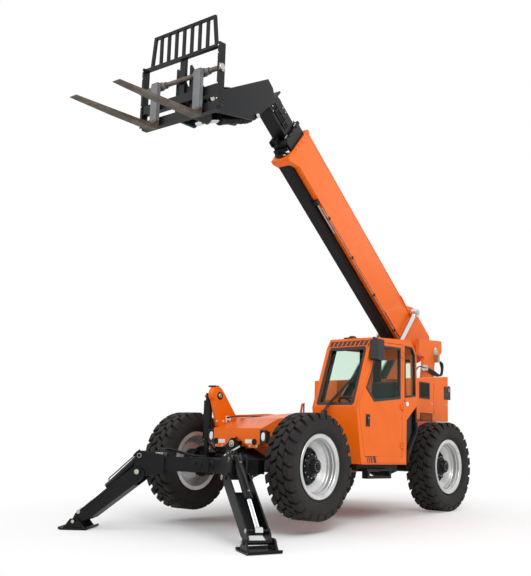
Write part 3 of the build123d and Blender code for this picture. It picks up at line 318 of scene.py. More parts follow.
def shown_mesh(thing):
    """A mesh of an object as its modifiers leave it."""
    return bpy.data.meshes.new_from_object(thing.evaluated_get(bpy.context.evaluated_depsgraph_get()))


class Shape:
    """Solids gathered in one mesh, drawn in a local frame."""

    def __init__(self):
        self.mesh = bmesh.new()

    def take(self, part, bevel=0.0, segments=2):
        """Round a solid's sharp edges and add it."""
        bmesh.ops.recalc_face_normals(part, faces=part.faces[:])
        if bevel:
            sharp = [e for e in part.edges if len(e.link_faces) == 2 and e.calc_face_angle() > SHARP_EDGE]
            bmesh.ops.bevel(part, geom=sharp, offset=bevel, segments=segments, affect="EDGES",
                            profile=0.6, clamp_overlap=True)
        held = bpy.data.meshes.new("held")
        part.to_mesh(held)
        part.free()
        self.mesh.from_mesh(held)
        bpy.data.meshes.remove(held)

    def block(self, low, high, bevel=0.004, turn=None, segments=2):
        """A box between two corners, turned about its middle where asked."""
        part = bmesh.new()
        bmesh.ops.create_cube(part, size=1.0)
        middle = (Vector(low) + Vector(high)) / 2
        size = Vector(high) - Vector(low)
        matrix = Matrix.Translation(middle) @ (turn or Matrix.Identity(4)) @ Matrix.Diagonal((*size, 1))
        bmesh.ops.transform(part, matrix=matrix, verts=part.verts[:])
        self.take(part, bevel, segments)

    def prism(self, outline, low, high, axis="y", bevel=0.004, segments=2):
        """An outline drawn across an axis and carried along it from low to high."""
        part = bmesh.new()
        rings = [[part.verts.new(on_plane(axis, a, b, c)) for a, b in outline] for c in (low, high)]
        cap_and_join(part, *rings)
        self.take(part, bevel, segments)

    def lathe(self, profile, place=(0, 0, 0), axis=(0, 1, 0), steps=40, bevel=0.0):
        """Turn a profile of (radius, distance along the axis) pairs about an axis."""
        part = bmesh.new()
        turn = Vector((0, 0, 1)).rotation_difference(Vector(axis).normalized()).to_matrix().to_4x4()
        closed = profile[0][0] > 1e-6 and profile[-1][0] > 1e-6
        rings = []
        for radius, along in profile:
            if radius < 1e-6:
                rings.append([part.verts.new((0, 0, along))])
            else:
                angles = [tau * i / steps for i in range(steps)]
                rings.append([part.verts.new((radius * cos(a), radius * sin(a), along)) for a in angles])
        pairs = list(zip(rings, rings[1:]))
        if closed:
            pairs.append((rings[-1], rings[0]))
        for first, second in pairs:
            for i in range(steps):
                j = (i + 1) % steps
                corners = [first[i % len(first)], first[j % len(first)], second[j % len(second)],
                           second[i % len(second)]]
                corners = list(dict.fromkeys(corners))
                if len(corners) > 2:
                    part.faces.new(corners)
        bmesh.ops.transform(part, matrix=Matrix.Translation(place) @ turn, verts=part.verts[:])
        self.take(part, bevel)

    def frame(self, outer, inner, low, high, axis="y", bevel=0.0):
        """A flat ring between two outlines with the same number of corners."""
        part = bmesh.new()
        loops = [[part.verts.new(on_plane(axis, a, b, c)) for a, b in outline]
                 for outline, c in ((outer, low), (outer, high), (inner, high), (inner, low))]
        join_loops(part, zip(loops, loops[1:] + loops[:1]))
        self.take(part, bevel)

    def band(self, inner, outer, half, place, axis, steps=28, bevel=0.0):
        """A ring of rectangular section round an axis."""
        self.lathe([(inner, -half), (outer, -half), (outer, half), (inner, half)], place, axis, steps, bevel)

    def rod(self, start, end, radius, steps=20, bevel=0.002, end_radius=None):
        """A round bar between two points, straight or tapered."""
        length = (Vector(end) - Vector(start)).length
        far = radius if end_radius is None else end_radius
        self.lathe([(0, 0), (radius - bevel, 0), (radius, bevel), (far, length - bevel),
                    (far - bevel, length), (0, length)], start, Vector(end) - Vector(start), steps)

    def pipe(self, points, radius, steps=8, smooth=True):
        """A round tube along points, by a smooth curve through or near them."""
        curve = bpy.data.curves.new("route", "CURVE")
        curve.dimensions = "3D"
        curve.bevel_depth = radius
        curve.bevel_resolution = max(1, steps // 4)
        curve.resolution_u = 6
        curve.use_fill_caps = True
        spline = curve.splines.new("NURBS" if smooth else "POLY")
        spline.points.add(len(points) - 1)
        for point, place in zip(spline.points, points):
            point.co = (*place, 1)
        if smooth:
            spline.order_u = 3
            spline.use_endpoint_u = True
        holder = bpy.data.objects.new("route", curve)
        mesh = bpy.data.meshes.new_from_object(holder)
        bmesh_part = bmesh.new()
        bmesh_part.from_mesh(mesh)
        bpy.data.objects.remove(holder)
        bpy.data.curves.remove(curve)
        bpy.data.meshes.remove(mesh)
        bmesh.ops.remove_doubles(bmesh_part, verts=bmesh_part.verts[:], dist=1e-5)
        self.take(bmesh_part)

    def piece(self, name, body, finish, matrix=None, slot=None, replaces=()):
        """Turn what was gathered into a piece of the scene."""
        mesh = bpy.data.meshes.new(name)
        self.mesh.to_mesh(mesh)
        self.mesh.free()
        return settle(mesh, name, body, finish, matrix, replaces)


def inset(outline, by):
    """An outline moved inwards by a distance, corner for corner."""
    area = sum(a[0] * b[1] - b[0] * a[1] for a, b in zip(outline, outline[1:] + outline[:1]))
    sign = 1 if area > 0 else -1
    moved = []
    for before, here, after in zip(outline[-1:] + outline[:-1], outline, outline[1:] + outline[:1]):
        one = (Vector(here) - Vector(before)).normalized()
        two = (Vector(after) - Vector(here)).normalized()
        normals = [Vector((-v.y, v.x)) * sign for v in (one, two)]
        middle = (normals[0] + normals[1]) / (1 + normals[0].dot(normals[1]))
        moved.append(tuple(Vector(here) + middle * by))
    return moved


def settle(mesh, name, body, finish, matrix=None, replaces=()):
    """Put a finished mesh in the scene, in place, with its finish and body."""
    mesh.transform(STANCE if matrix is None else matrix)
    for polygon in mesh.polygons:
        polygon.use_smooth = True
    mesh.set_sharp_from_angle(angle=SHARP_SHADE)
    mesh.materials.clear()
    mesh.materials.append(FINISHES[finish])
    made = bpy.data.objects.new(name, mesh)
    bpy.context.scene.collection.objects.link(made)
    shading = made.modifiers.new("shading", "WEIGHTED_NORMAL")
    shading.keep_sharp = True
    shaded = shown_mesh(made)
    made.modifiers.clear()
    made.data = shaded
    shaded.name = name
    bpy.data.meshes.remove(mesh)
    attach(made, body)
    if replaces:
        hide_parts(*replaces)
    return made


def dress(node, finish, rounding=0.004, angle=SHARP_SHADE):
    """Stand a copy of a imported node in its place, with its doubles merged and its edges rounded."""
    source = frame["nodes"][node]
    part = bmesh.new()
    part.from_mesh(source.data)
    bmesh.ops.remove_doubles(part, verts=part.verts[:], dist=TOUCHING)
    bmesh.ops.dissolve_limit(part, angle_limit=FLAT, verts=part.verts[:], edges=part.edges[:])
    mesh = bpy.data.meshes.new(node + "_skin")
    part.to_mesh(mesh)
    part.free()
    if rounding:
        held = bpy.data.objects.new("held", mesh)
        bpy.context.scene.collection.objects.link(held)
        modifier = held.modifiers.new("edges", "BEVEL")
        modifier.width = rounding
        modifier.segments = 2
        modifier.limit_method = "ANGLE"
        modifier.angle_limit = angle
        modifier.use_clamp_overlap = True
        modifier.harden_normals = False
        rounded = shown_mesh(held)
        bpy.data.objects.remove(held)
        bpy.data.meshes.remove(mesh)
        mesh = rounded
    mesh.name = node + "_skin"
    return settle(mesh, node + "_skin", source["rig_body"], finish, Matrix.Identity(4), [node])


def socket(tree, name, kind, into="INPUT"):
    """One named input or output of a node tree."""
    return tree.interface.new_socket(name=name, in_out=into, socket_type=kind)


def repeat_tree(layout):
    """Geometry Nodes that set copies of an item in a row, in a ring or on marked points."""
    tree = bpy.data.node_groups.new(f"repeat_in_{layout}", "GeometryNodeTree")
    socket(tree, "Geometry", "NodeSocketGeometry")
    socket(tree, "Item", "NodeSocketObject")
    socket(tree, "Finish", "NodeSocketMaterial")
    if layout != "places":
        socket(tree, "Count", "NodeSocketInt")
        socket(tree, "Step", "NodeSocketVector")
    socket(tree, "Geometry", "NodeSocketGeometry", "OUTPUT")
    given = add(tree, "NodeGroupInput")
    item = add(tree, "GeometryNodeObjectInfo", None, {"Object": (given, "Item")})
    if layout == "row":
        points = add(tree, "GeometryNodeMeshLine", None,
                     {"Count": (given, "Count"), "Offset": (given, "Step")})
        copies = add(tree, "GeometryNodeInstanceOnPoints", None,
                     {"Points": (points, "Mesh"), "Instance": (item, "Geometry")})
    elif layout == "ring":
        points = add(tree, "GeometryNodePoints", None, {"Count": (given, "Count")})
        order = add(tree, "GeometryNodeInputIndex")
        angle = add(tree, "ShaderNodeVectorMath", None, {0: (given, "Step"), 1: (order, "Index")},
                    operation="MULTIPLY")
        copies = add(tree, "GeometryNodeInstanceOnPoints", None,
                     {"Points": (points, 0), "Instance": (item, "Geometry"), "Rotation": (angle, 0)})
    else:
        turn = add(tree, "GeometryNodeInputNamedAttribute", {"Name": "turn"}, data_type="FLOAT_VECTOR")
        copies = add(tree, "GeometryNodeInstanceOnPoints", None,
                     {"Points": (given, "Geometry"), "Instance": (item, "Geometry"),
                      "Rotation": (turn, "Attribute")})
    real = add(tree, "GeometryNodeRealizeInstances", None, {"Geometry": (copies, "Instances")})
    done = add(tree, "GeometryNodeSetMaterial", None,
               {"Geometry": (real, 0), "Material": (given, "Finish")})
    add(tree, "NodeGroupOutput", None, {"Geometry": (done, "Geometry")})
    return tree


def repeat(layout, item, name, body, finish, matrix=None, places=(), slot=None, replaces=(), **inputs):
    """Bake copies of a Shape into one mesh piece."""
    tree = bpy.data.node_groups.get(f"repeat_in_{layout}") or repeat_tree(layout)
    item_mesh = bpy.data.meshes.new("item")
    item.mesh.to_mesh(item_mesh)
    item.mesh.free()
    item_object = bpy.data.objects.new("item", item_mesh)
    points = bpy.data.meshes.new("places")
    points.from_pydata([place for place, _ in places], [], [])
    if places:
        turns = points.attributes.new("turn", "FLOAT_VECTOR", "POINT")
        turns.data.foreach_set("vector", [value for _, turn in places for value in turn])
    holder = bpy.data.objects.new("holder", points)
    for made in (item_object, holder):
        bpy.context.scene.collection.objects.link(made)
    modifier = holder.modifiers.new("repeat", "NODES")
    modifier.node_group = tree
    given = {"Item": item_object, "Finish": FINISHES[finish], **inputs}
    for each in tree.interface.items_tree:
        if each.in_out == "INPUT" and each.name in given:
            modifier[each.identifier] = given[each.name]
    bpy.context.view_layer.update()
    mesh = shown_mesh(holder)
    bpy.data.objects.remove(holder)
    bpy.data.objects.remove(item_object)
    mesh.name = name
    return settle(mesh, name, body, finish, matrix, replaces)


# Panels
ROUNDING = {"chassis_frame": 0.008, "levelling_horn": 0.012, "boom_tower": 0.012, "boom_outer": 0.01,
            "cab_shell": 0.014, "cab_door": 0.006, "rear_boxes": 0.012,
            "boom_mid": 0.008, "boom_inner": 0.008, "boom_head": 0.008, "cab_mount": 0.006,
            "levelling_cylinder": 0.004}


def build_panels():
    """Rounded copies of the plain panels and sections."""
    for node, rounding in ROUNDING.items():
        finish = next(key for key, nodes in NODE_FINISH.items() if node in nodes)
        dress(node, finish, rounding)


# Running gear
CORNERS = {"front_left": (0, 1), "front_right": (0, -1), "rear_left": (-WHEELBASE, 1),
           "rear_right": (-WHEELBASE, -1)}
LUG_SLANT = 0.62
WHEEL_NUTS = 10
COVER_BOLTS = 14
LUG_TOP = 0.6655
LUG_ROOT = 0.618
CARCASS = [(0.3565, -0.146), (0.396, -0.1475), (0.415, -0.152), (0.428, -0.163), (0.436, -0.165),
           (0.446, -0.176), (0.470, -0.1905), (0.520, -0.2005), (0.562, -0.1995), (0.568, -0.2015),
           (0.574, -0.1990), (0.598, -0.188), (0.612, -0.176), (0.621, -0.158), (0.627, -0.100),
           (0.629, -0.020)]
RIM = [(0.3565, 0.1535), (0.397, 0.1535), (0.404, 0.158), (0.405, 0.166), (0.400, 0.1715), (0.391, 0.1715),
       (0.386, 0.167), (0.372, 0.164), (0.354, 0.161), (0.347, 0.152), (0.344, 0.122), (0.337, 0.114),
       (0.335, 0.066), (0.326, 0.056), (0.322, 0.034), (0.312, 0.020), (0.300, 0.014), (0.262, -0.020),
       (0.238, -0.040), (0.1354, -0.040), (0.1354, -0.055), (0.236, -0.056), (0.264, -0.040), (0.304, 0.0),
       (0.330, 0.006), (0.343, 0.006), (0.344, -0.150), (0.348, -0.166), (0.400, -0.166), (0.400, -0.154),
       (0.3565, -0.154)]


def wheel_frame(corner):
    """Frame at a wheel's centre, y along its axle."""
    x, side = CORNERS[corner]
    return STANCE @ Matrix.Translation((x, side * WHEEL_Y, TYRE_RADIUS))


def body_of(node):
    """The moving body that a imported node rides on."""
    return frame["nodes"][node]["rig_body"]


def tread_lug(lugs):
    """One pitch of the tread: four slanted blocks, bent round the tyre."""
    pitch = tau * LUG_TOP / lugs
    item = Shape()
    for side in (1, -1):
        shift = 0.0 if side > 0 else pitch / 2
        inner = [(side * 0.005, LUG_ROOT), (side * 0.005, LUG_TOP), (side * 0.092, LUG_TOP),
                 (side * 0.092, LUG_ROOT)]
        outer = [(side * 0.103, LUG_ROOT - 0.01), (side * 0.103, LUG_TOP), (side * 0.170, LUG_TOP - 0.001),
                 (side * 0.186, LUG_TOP - 0.008), (side * 0.199, 0.622), (side * 0.2025, 0.584),
                 (side * 0.190, 0.580)]
        item.prism(inner, shift - 0.061, shift + 0.061, "x", 0.006)
        item.prism(outer, shift - 0.056 + pitch * 0.36, shift + 0.056 + pitch * 0.36, "x", 0.006)
    for x in (-0.08, -0.04, 0.0, 0.04, 0.08, 0.12, 0.16, 0.2):
        bmesh.ops.bisect_plane(item.mesh, geom=item.mesh.verts[:] + item.mesh.edges[:] + item.mesh.faces[:],
                               plane_co=(x, 0, 0), plane_no=(1, 0, 0))
    for vertex in item.mesh.verts:
        across = abs(vertex.co.y)
        angle = (vertex.co.x + LUG_SLANT * min(across, 0.185)) / LUG_TOP
        radius = vertex.co.z
        vertex.co = (radius * sin(angle), vertex.co.y, radius * cos(angle))
    return item


def build_wheels():
    """Tyres with tread, stepped rims, hubs, nuts and valves."""
    lugs = bpy.context.scene.telehandler_sizes.lugs
    for corner, (_, side) in CORNERS.items():
        place = wheel_frame(corner)
        body = body_of("tyre_" + corner)
        carcass = Shape()
        carcass.lathe(CARCASS + [(radius, -y) for radius, y in reversed(CARCASS)], steps=104)
        carcass.piece("tyre_carcass_" + corner, body, "tyre", place, replaces=["tyre_" + corner])
        repeat("ring", tread_lug(lugs), "tyre_tread_" + corner, body, "tyre", place, Count=lugs,
               Step=(0.0, tau / lugs, 0.0))
        dish = Shape()
        dish.lathe([(radius, side * y) for radius, y in RIM], steps=96)
        dish.piece("rim_dish_" + corner, body, "wheel", place, replaces=["rim_" + corner])
        nut = Shape()
        nut.lathe([(0, -0.040), (0.021, -0.040), (0.021, -0.034), (0.016, -0.033), (0.016, -0.018),
                   (0, -0.018)], (0, 0, 0.205), steps=6, bevel=0.002)
        nut.lathe([(0, -0.018), (0.010, -0.018), (0.010, -0.004), (0.008, -0.002), (0, -0.002)],
                  (0, 0, 0.205), steps=12)
        if side < 0:
            bmesh.ops.scale(nut.mesh, vec=(1, -1, 1), verts=nut.mesh.verts[:])
            bmesh.ops.reverse_faces(nut.mesh, faces=nut.mesh.faces[:])
        repeat("ring", nut, "wheel_nuts_" + corner, body, "black", place, Count=WHEEL_NUTS,
               Step=(0.0, tau / WHEEL_NUTS, 0.0))
        dress("hub_" + corner, "black", 0.004)
        cap = Shape()
        for profile in ([(0.1356, 0.012), (0.152, 0.012), (0.154, 0.015), (0.154, 0.026), (0.1356, 0.030)],
                        [(0, 0.070), (0.104, 0.070), (0.104, 0.082), (0.092, 0.106), (0.088, 0.1155),
                         (0.074, 0.1165),
                         (0.078, 0.119), (0.078, 0.124), (0.070, 0.128), (0.03, 0.129), (0.028, 0.137),
                         (0, 0.138)]):
            cap.lathe([(radius, side * y) for radius, y in profile], steps=48)
        cap.piece("hub_cap_" + corner, body, "black", place)
        # black ring on the wheel disc round the hub: painted shade where the dish lies in shadow round the
        # hub
        centre = Shape()
        centre.lathe([(radius, side * y) for radius,
                      y in ((0.1357, -0.0399), (0.237, -0.0399), (0.235, -0.0355),
                                                           (0.1357, -0.0350))], steps=64)
        centre.piece("wheel_centre_" + corner, body, "black", place)
        bolt = Shape()
        bolt.lathe([(0, side * 0.030), (0.010, side * 0.030), (0.010, side * 0.039), (0, side * 0.040)],
                   (0, 0, 0.145), steps=6, bevel=0.0015)
        bolt.lathe([(0, side * 0.1275), (0.006, side * 0.1275), (0.006, side * 0.133), (0, side * 0.134)],
                   (0, 0, 0.055), steps=6, bevel=0.001)
        repeat("ring", bolt, "hub_bolts_" + corner, body, "zinc", place, Count=12,
               Step=(0.0, tau / 12, 0.0))
        valve = Shape()
        valve.rod((0.235, side * 0.06, 0.235), (0.228, side * 0.095, 0.228), 0.006, 10)
        valve.piece("valve_" + corner, body, "zinc", place)


def build_axles():
    """Axles with their bolted covers, kingpins and drive shafts."""
    for node, x in (("front_axle", 0), ("rear_axle", -WHEELBASE)):
        dress(node, "black", 0.008)
        place = STANCE @ Matrix.Translation((x, 0, TYRE_RADIUS))
        bolt = Shape()
        bolt.lathe([(0, 0.070), (0.012, 0.070), (0.012, 0.080), (0, 0.081)], (0, 0, 0.196), steps=6,
                   bevel=0.002)
        bolt.lathe([(0, -0.080), (0.012, -0.080), (0.012, -0.070), (0, -0.070)], (0, 0, 0.196), steps=6,
                   bevel=0.002)
        repeat("ring", bolt, node + "_bolts", "chassis", "zinc", place, Count=COVER_BOLTS,
               Step=(0.0, tau / COVER_BOLTS, 0.0))
        cover = Shape()
        for y in (0.062, -0.070):
            cover.lathe([(0.150, y), (0.208, y), (0.211, y + 0.002), (0.211, y + 0.006), (0.208, y + 0.008),
                         (0.150, y + 0.008)], steps=48)
        cover.rod((0, 0, 0), (0.26 if x < 0 else -0.26, 0, 0.02), 0.075, 32, 0.006)
        cover.piece(node + "_cover", "chassis", "black", place)
    for corner, (x, side) in CORNERS.items():
        dress("knuckle_" + corner, "black", 0.005)
        pins = Shape()
        for up in (1, -1):
            top = TYRE_RADIUS + up * 0.1855
            pins.lathe([(0, 0), (0.058, 0), (0.060, up * 0.003), (0.060, up * 0.010), (0.04, up * 0.012),
                        (0.038, up * 0.022), (0, up * 0.024)], (x, side * 0.8, top), (0, 0, 1), 32)
        pins.piece("kingpin_caps_" + corner, "chassis", "black")
    shaft = Shape()
    shaft.rod((-0.24, 0, 0.62), (-1.05, 0, 0.50), 0.042, 28)
    shaft.rod((-3.03, 0, 0.62), (-1.72, 0, 0.50), 0.042, 28)
    shaft.block((-1.74, -0.16, 0.40), (-1.03, 0.16, 0.62), 0.02)
    for x, z in ((-0.28, 0.615), (-1.03, 0.503), (-1.75, 0.503), (-2.99, 0.615)):
        shaft.lathe([(0, -0.03), (0.066, -0.03), (0.068, -0.026), (0.068, 0.026), (0.066, 0.03), (0, 0.03)],
                    (x, 0, z), (1, 0, 0), 28)
    shaft.piece("drive_shafts", "chassis", "black")


# Boom
def along_boom(x, z):
    """Level chassis point of a place along and above the boom's pivot line."""
    return (BOOM_PIVOT[0] + x * cos(BOOM_ANGLE) - z * sin(BOOM_ANGLE),
            BOOM_PIVOT[1] + x * sin(BOOM_ANGLE) + z * cos(BOOM_ANGLE))


def build_boom():
    """Boom collar, the black tray under it, which also stands as painted shade on the underside, tubes,
    welds, sheaves and the hoses at the sections.
    """
    # the outer section's underside and top from the pivot line, and its half width
    low, high, half = -0.361, 0.199, 0.163
    collar = Shape()
    rim = [(-half - 0.012, high + 0.03), (half + 0.012, high + 0.03), (half + 0.012, low + 0.05),
           (half - 0.01, low - 0.02), (0.10, low - 0.075), (0.05, low - 0.115), (0, low - 0.128),
           (-0.05, low - 0.115), (-0.10, low - 0.075), (0.01 - half, low - 0.02),
           (-half - 0.012, low + 0.05)]
    inside = [(-half + 0.02, high - 0.01), (half - 0.02, high - 0.01), (half - 0.02, low + 0.055),
              (half - 0.035, low - 0.005), (0.085, low - 0.055), (0.04, low - 0.092), (0, low - 0.102),
              (-0.04, low - 0.092), (-0.085, low - 0.055), (0.035 - half, low - 0.005),
              (-half + 0.02, low + 0.055)]
    part = bmesh.new()
    loops = [[part.verts.new((x, y, z)) for y, z in ring] for x, ring in
             ((4.50, rim), (4.565, rim), (4.565, inside), (4.50, inside))]
    join_loops(part, zip(loops, loops[1:] + loops[:1]))
    collar.take(part, 0.006)
    collar.piece("boom_collar", "boom", "orange", BOOM)
    # under the boom: a black hose tray, drawn wide enough that it also serves as painted shade on the boom's
    # underside
    shade_tray = Shape()
    shade_tray.prism([(-0.150, low - 0.055), (-0.130, low - 0.072), (0.045, low - 0.072), (0.062, low - 0.055),
                  (0.072, low - 0.001), (-0.158, low - 0.001)], 0.42, 4.40, "x", 0.006)
    shade_tray.block((3.62, 0.09, low - 0.06), (3.70, 0.155, low - 0.002), 0.006)
    for x in (0.9, 1.7, 2.5, 3.3):
        shade_tray.block((x, 0.125, low - 0.022), (x + 0.04, 0.168, low + 0.02), 0.004)
    shade_tray.piece("boom_trough", "boom", "black", BOOM)
    tube = Shape()
    tube.pipe([(0.55, 0.148, low - 0.014), (2.0, 0.148, low - 0.014), (3.55, 0.148, low - 0.014)], 0.009,
              12, False)
    tube.pipe([(3.05, 0.118, low - 0.03), (3.64, 0.118, low - 0.03)], 0.012, 12, False)
    tube.pipe([(0.55, -0.148, low - 0.014), (2.0, -0.148, low - 0.014), (3.55, -0.148, low - 0.014)], 0.009,
              12, False)
    tube.piece("boom_tubes", "boom", "zinc", BOOM)
    edge = Shape()
    for side in (1, -1):
        edge.block((0.9, side * 0.1635 - 0.0035, high - 0.004), (4.5, side * 0.1635 + 0.0035, high + 0.005),
                   0.002)
        edge.block((0.40, side * 0.1755 - 0.004, low + 0.002), (1.30, side * 0.1755 + 0.004, low + 0.012),
                   0.002)
        edge.prism([(0.80, high - 0.05), (1.18, high - 0.012), (1.18, high), (0.80, high - 0.02)],
                   side * 0.176 - 0.012 * (side < 0), side * 0.176 + 0.012 * (side > 0), "y", 0.003)
    edge.piece("boom_welds", "boom", "orange", BOOM)
    cavity = Shape()
    for y, z in ((-0.06, low + 0.035), (0.06, low + 0.035)):
        cavity.lathe([(0, -0.018), (0.044, -0.018), (0.044, -0.010), (0.034, -0.008), (0.034, 0.008),
                      (0.044, 0.010), (0.044, 0.018), (0, 0.018)], (4.60, y, z - 0.02), (0, 1, 0), 28)
    for z in (low - 0.02, low - 0.055):
        cavity.rod((4.585, -0.09, z), (4.585, 0.09, z), 0.018, 18)
    cavity.block((4.545, -0.13, low - 0.002), (4.65, 0.13, low + 0.028), 0.006)
    cavity.block((4.57, -0.05, low - 0.09), (4.60, 0.05, low - 0.01), 0.006)
    cavity.piece("collar_sheaves", "boom", "black", BOOM)
    pin = Shape()
    pin.rod((4.60, 0.102, low - 0.022), (4.60, 0.150, low - 0.022), 0.020, 24, 0.004)
    pin.rod((4.585, 0.06, low - 0.065), (4.585, 0.102, low - 0.065), 0.012, 18, 0.003)
    pin.piece("collar_pins", "boom", "zinc", BOOM)
    bolt = Shape()
    bolt.lathe([(0, 0), (0.013, 0), (0.013, 0.009), (0, 0.010)], (4.533, 0.1755, high - 0.03), (0, 1, 0), 6,
               0.0015)
    bolt.lathe([(0, 0), (0.013, 0), (0.013, -0.009), (0, -0.010)], (4.533, -0.1755, high - 0.03), (0, 1, 0),
               6, 0.0015)
    repeat("row", bolt, "collar_bolts", "boom", "orange", BOOM, Count=5, Step=(0.0, 0.0, -0.105))
    head = Shape()
    for side in (1, -1):
        head.block((4.72, side * 0.139 - 0.016, -0.295), (4.765, side * 0.139 + 0.016, 0.13), 0.006)
        for z in (-0.2, -0.08, 0.04):
            head.rod((4.742, side * 0.153, z), (4.742, side * 0.170, z), 0.014, 6, 0.002)
    head.block((4.715, -0.139, 0.145), (4.765, 0.139, 0.175), 0.006)
    head.block((4.715, -0.139, -0.335), (4.765, 0.139, -0.305), 0.006)
    for y in (-0.085, 0.085):
        head.rod((4.74, y, 0.17), (4.74, y, 0.215), 0.012, 12)
        head.block((4.60, y - 0.02, 0.145), (4.74, y + 0.02, 0.163), 0.004)
    head.lathe([(0, -0.02), (0.052, -0.02), (0.055, -0.016), (0.040, -0.009), (0.040, 0.009),
                (0.055, 0.016), (0.052, 0.02), (0, 0.02)], (4.80, -0.02, -0.345), (0, 1, 0), 32)
    head.block((4.73, -0.08, -0.40), (4.83, -0.055, -0.30), 0.006)
    head.block((4.73, 0.015, -0.40), (4.83, 0.04, -0.30), 0.006)
    head.piece("mid_head_band", "boom_mid", "black", BOOM)
    pads = Shape()
    for side in (1, -1):
        for z in (-0.25, 0.06):
            pads.block((4.765, side * 0.132 - 0.005, z - 0.04), (4.785, side * 0.132 + 0.005, z + 0.04),
                       0.002)
    for y in (-0.07, 0.07):
        pads.rod((4.768, y, 0.16), (4.795, y, 0.16), 0.011, 6, 0.002)
    pads.piece("mid_head_screws", "boom_mid", "zinc", BOOM)
    inner = Shape()
    for z in (-0.16, -0.115, -0.07):
        inner.pipe([(4.84, 0.122, z), (5.0, 0.126, z), (5.16, 0.124, z), (5.25, 0.118, z + 0.01)], 0.009, 8)
    inner.pipe([(4.80, 0.06, 0.085), (4.92, 0.07, 0.13), (5.08, 0.07, 0.10), (5.20, 0.07, 0.14),
                (5.29, 0.07, 0.09)], 0.009, 8)
    inner.pipe([(4.80, 0.03, 0.085), (4.94, 0.03, 0.115), (5.08, 0.03, 0.09), (5.20, 0.03, 0.125),
                (5.29, 0.03, 0.09)], 0.009, 8)
    inner.piece("inner_hoses", "boom_inner", "hose", BOOM)
    clips = Shape()
    for x in (4.93, 5.15):
        clips.block((x, 0.112, -0.18), (x + 0.025, 0.139, -0.045), 0.003)
        clips.block((x, 0.01, 0.074), (x + 0.025, 0.09, 0.098), 0.003)
    clips.block((5.18, 0.112, -0.225), (5.30, 0.128, -0.19), 0.004)
    clips.piece("inner_clips", "boom_inner", "black", BOOM)
    knob = Shape()
    for x, z in ((5.20, -0.205), (5.255, -0.16), (5.02, 0.02), (5.10, 0.02)):
        knob.rod((x, 0.115, z), (x, 0.137, z), 0.010, 12, 0.002)
    knob.piece("inner_studs", "boom_inner", "zinc", BOOM)


def gland(shape, start, end, at, radius, rod_radius):
    """Screwed head ring where a rod leaves its barrel."""
    way = (Vector(end) - Vector(start)).normalized()
    place = Vector(start) + way * at
    shape.lathe([(rod_radius + 0.001, -0.05), (radius + 0.004, -0.05), (radius + 0.006, -0.046),
                 (radius + 0.006, -0.006), (radius + 0.002, 0.0), (radius - 0.008, 0.004),
                 (rod_radius + 0.008, 0.006), (rod_radius + 0.001, 0.004)], place, way, 32)


def build_lift_cylinders():
    """The two lift cylinders with their glands, lines and pins."""
    eye = along_boom(0.755, 0.2)
    rings, pins, lines = Shape(), Shape(), Shape()
    for side in (1, -1):
        start, end = (-2.23, side * 0.255, 1.2), (eye[0], side * 0.255, eye[1])
        gland(rings, start, end, 1.78, 0.070, 0.040)
        way = (Vector(end) - Vector(start)).normalized()
        up = way.cross(Vector((0, 1, 0))) * -1
        base = Vector(start) + way * 0.22 + up * 0.074
        for at in (0.22, 0.9, 1.6):
            middle = Vector(start) + way * at
            rings.band(0.0702, 0.075, 0.012, middle, way)
        lines.pipe([base, base + up * 0.012 + way * 0.1, base + up * 0.012 + way * 1.3, base + way * 1.42],
                   0.008, 8)
        pins.rod((start[0], side * 0.355, 1.2), (start[0], side * 0.368, 1.2), 0.052, 24, 0.003)
    rings.piece("lift_glands", "lift_barrels", "black")
    lines.piece("lift_lines", "lift_barrels", "zinc")
    dress("lift_barrels", "black", 0.004)
    dress("lift_rods", "chrome", 0.003)
    pins.piece("lift_base_pins", "chassis", "zinc")
    caps = Shape()
    for side in (1, -1):
        caps.rod((eye[0], side * 0.311, eye[1]), (eye[0], side * 0.322, eye[1]), 0.042, 24, 0.003)
        caps.rod((eye[0], side * 0.18, eye[1]), (eye[0], side * 0.1995, eye[1]), 0.055, 24, 0.003)
    caps.piece("lift_eye_pins", "boom", "zinc")


# Cab
CAB_LEFT = 1.15
CAB_MID = 0.78
BROW_BARS = 10
BROW_PITCH = 0.0725
DOOR_WINDOW = [(-1.33, 1.545), (-2.01, 1.62), (-2.01, 2.345), (-1.39, 2.325), (-1.26, 1.96), (-1.13, 1.715)]
REAR_WINDOW = [(-2.13, 1.635), (-2.44, 1.675), (-2.42, 2.29), (-2.34, 2.39), (-2.13, 2.395)]


def on_screen(y, z, out=0.0):
    """Point on the slanted front of the cab, some way out from its face."""
    back = (z - 1.44) * 0.3765
    return (-0.90 - back + out * 0.936, y, z + out * 0.352)


def screen_bar(shape, start, end, width, low, high, bevel=0.002):
    """A flat bar on the slanted front, between two (y, z) places."""
    (y1, z1), (y2, z2) = start, end
    way = Vector((y2 - y1, z2 - z1)).normalized()
    off = Vector((-way.y, way.x)) * width / 2
    part = bmesh.new()
    rings = [[part.verts.new(on_screen(y + s * off.x, z + s * off.y, out))
              for y, z, s in ((y1, z1, 1), (y2, z2, 1), (y2, z2, -1), (y1, z1, -1))] for out in (low, high)]
    cap_and_join(part, *rings)
    shape.take(part, bevel)


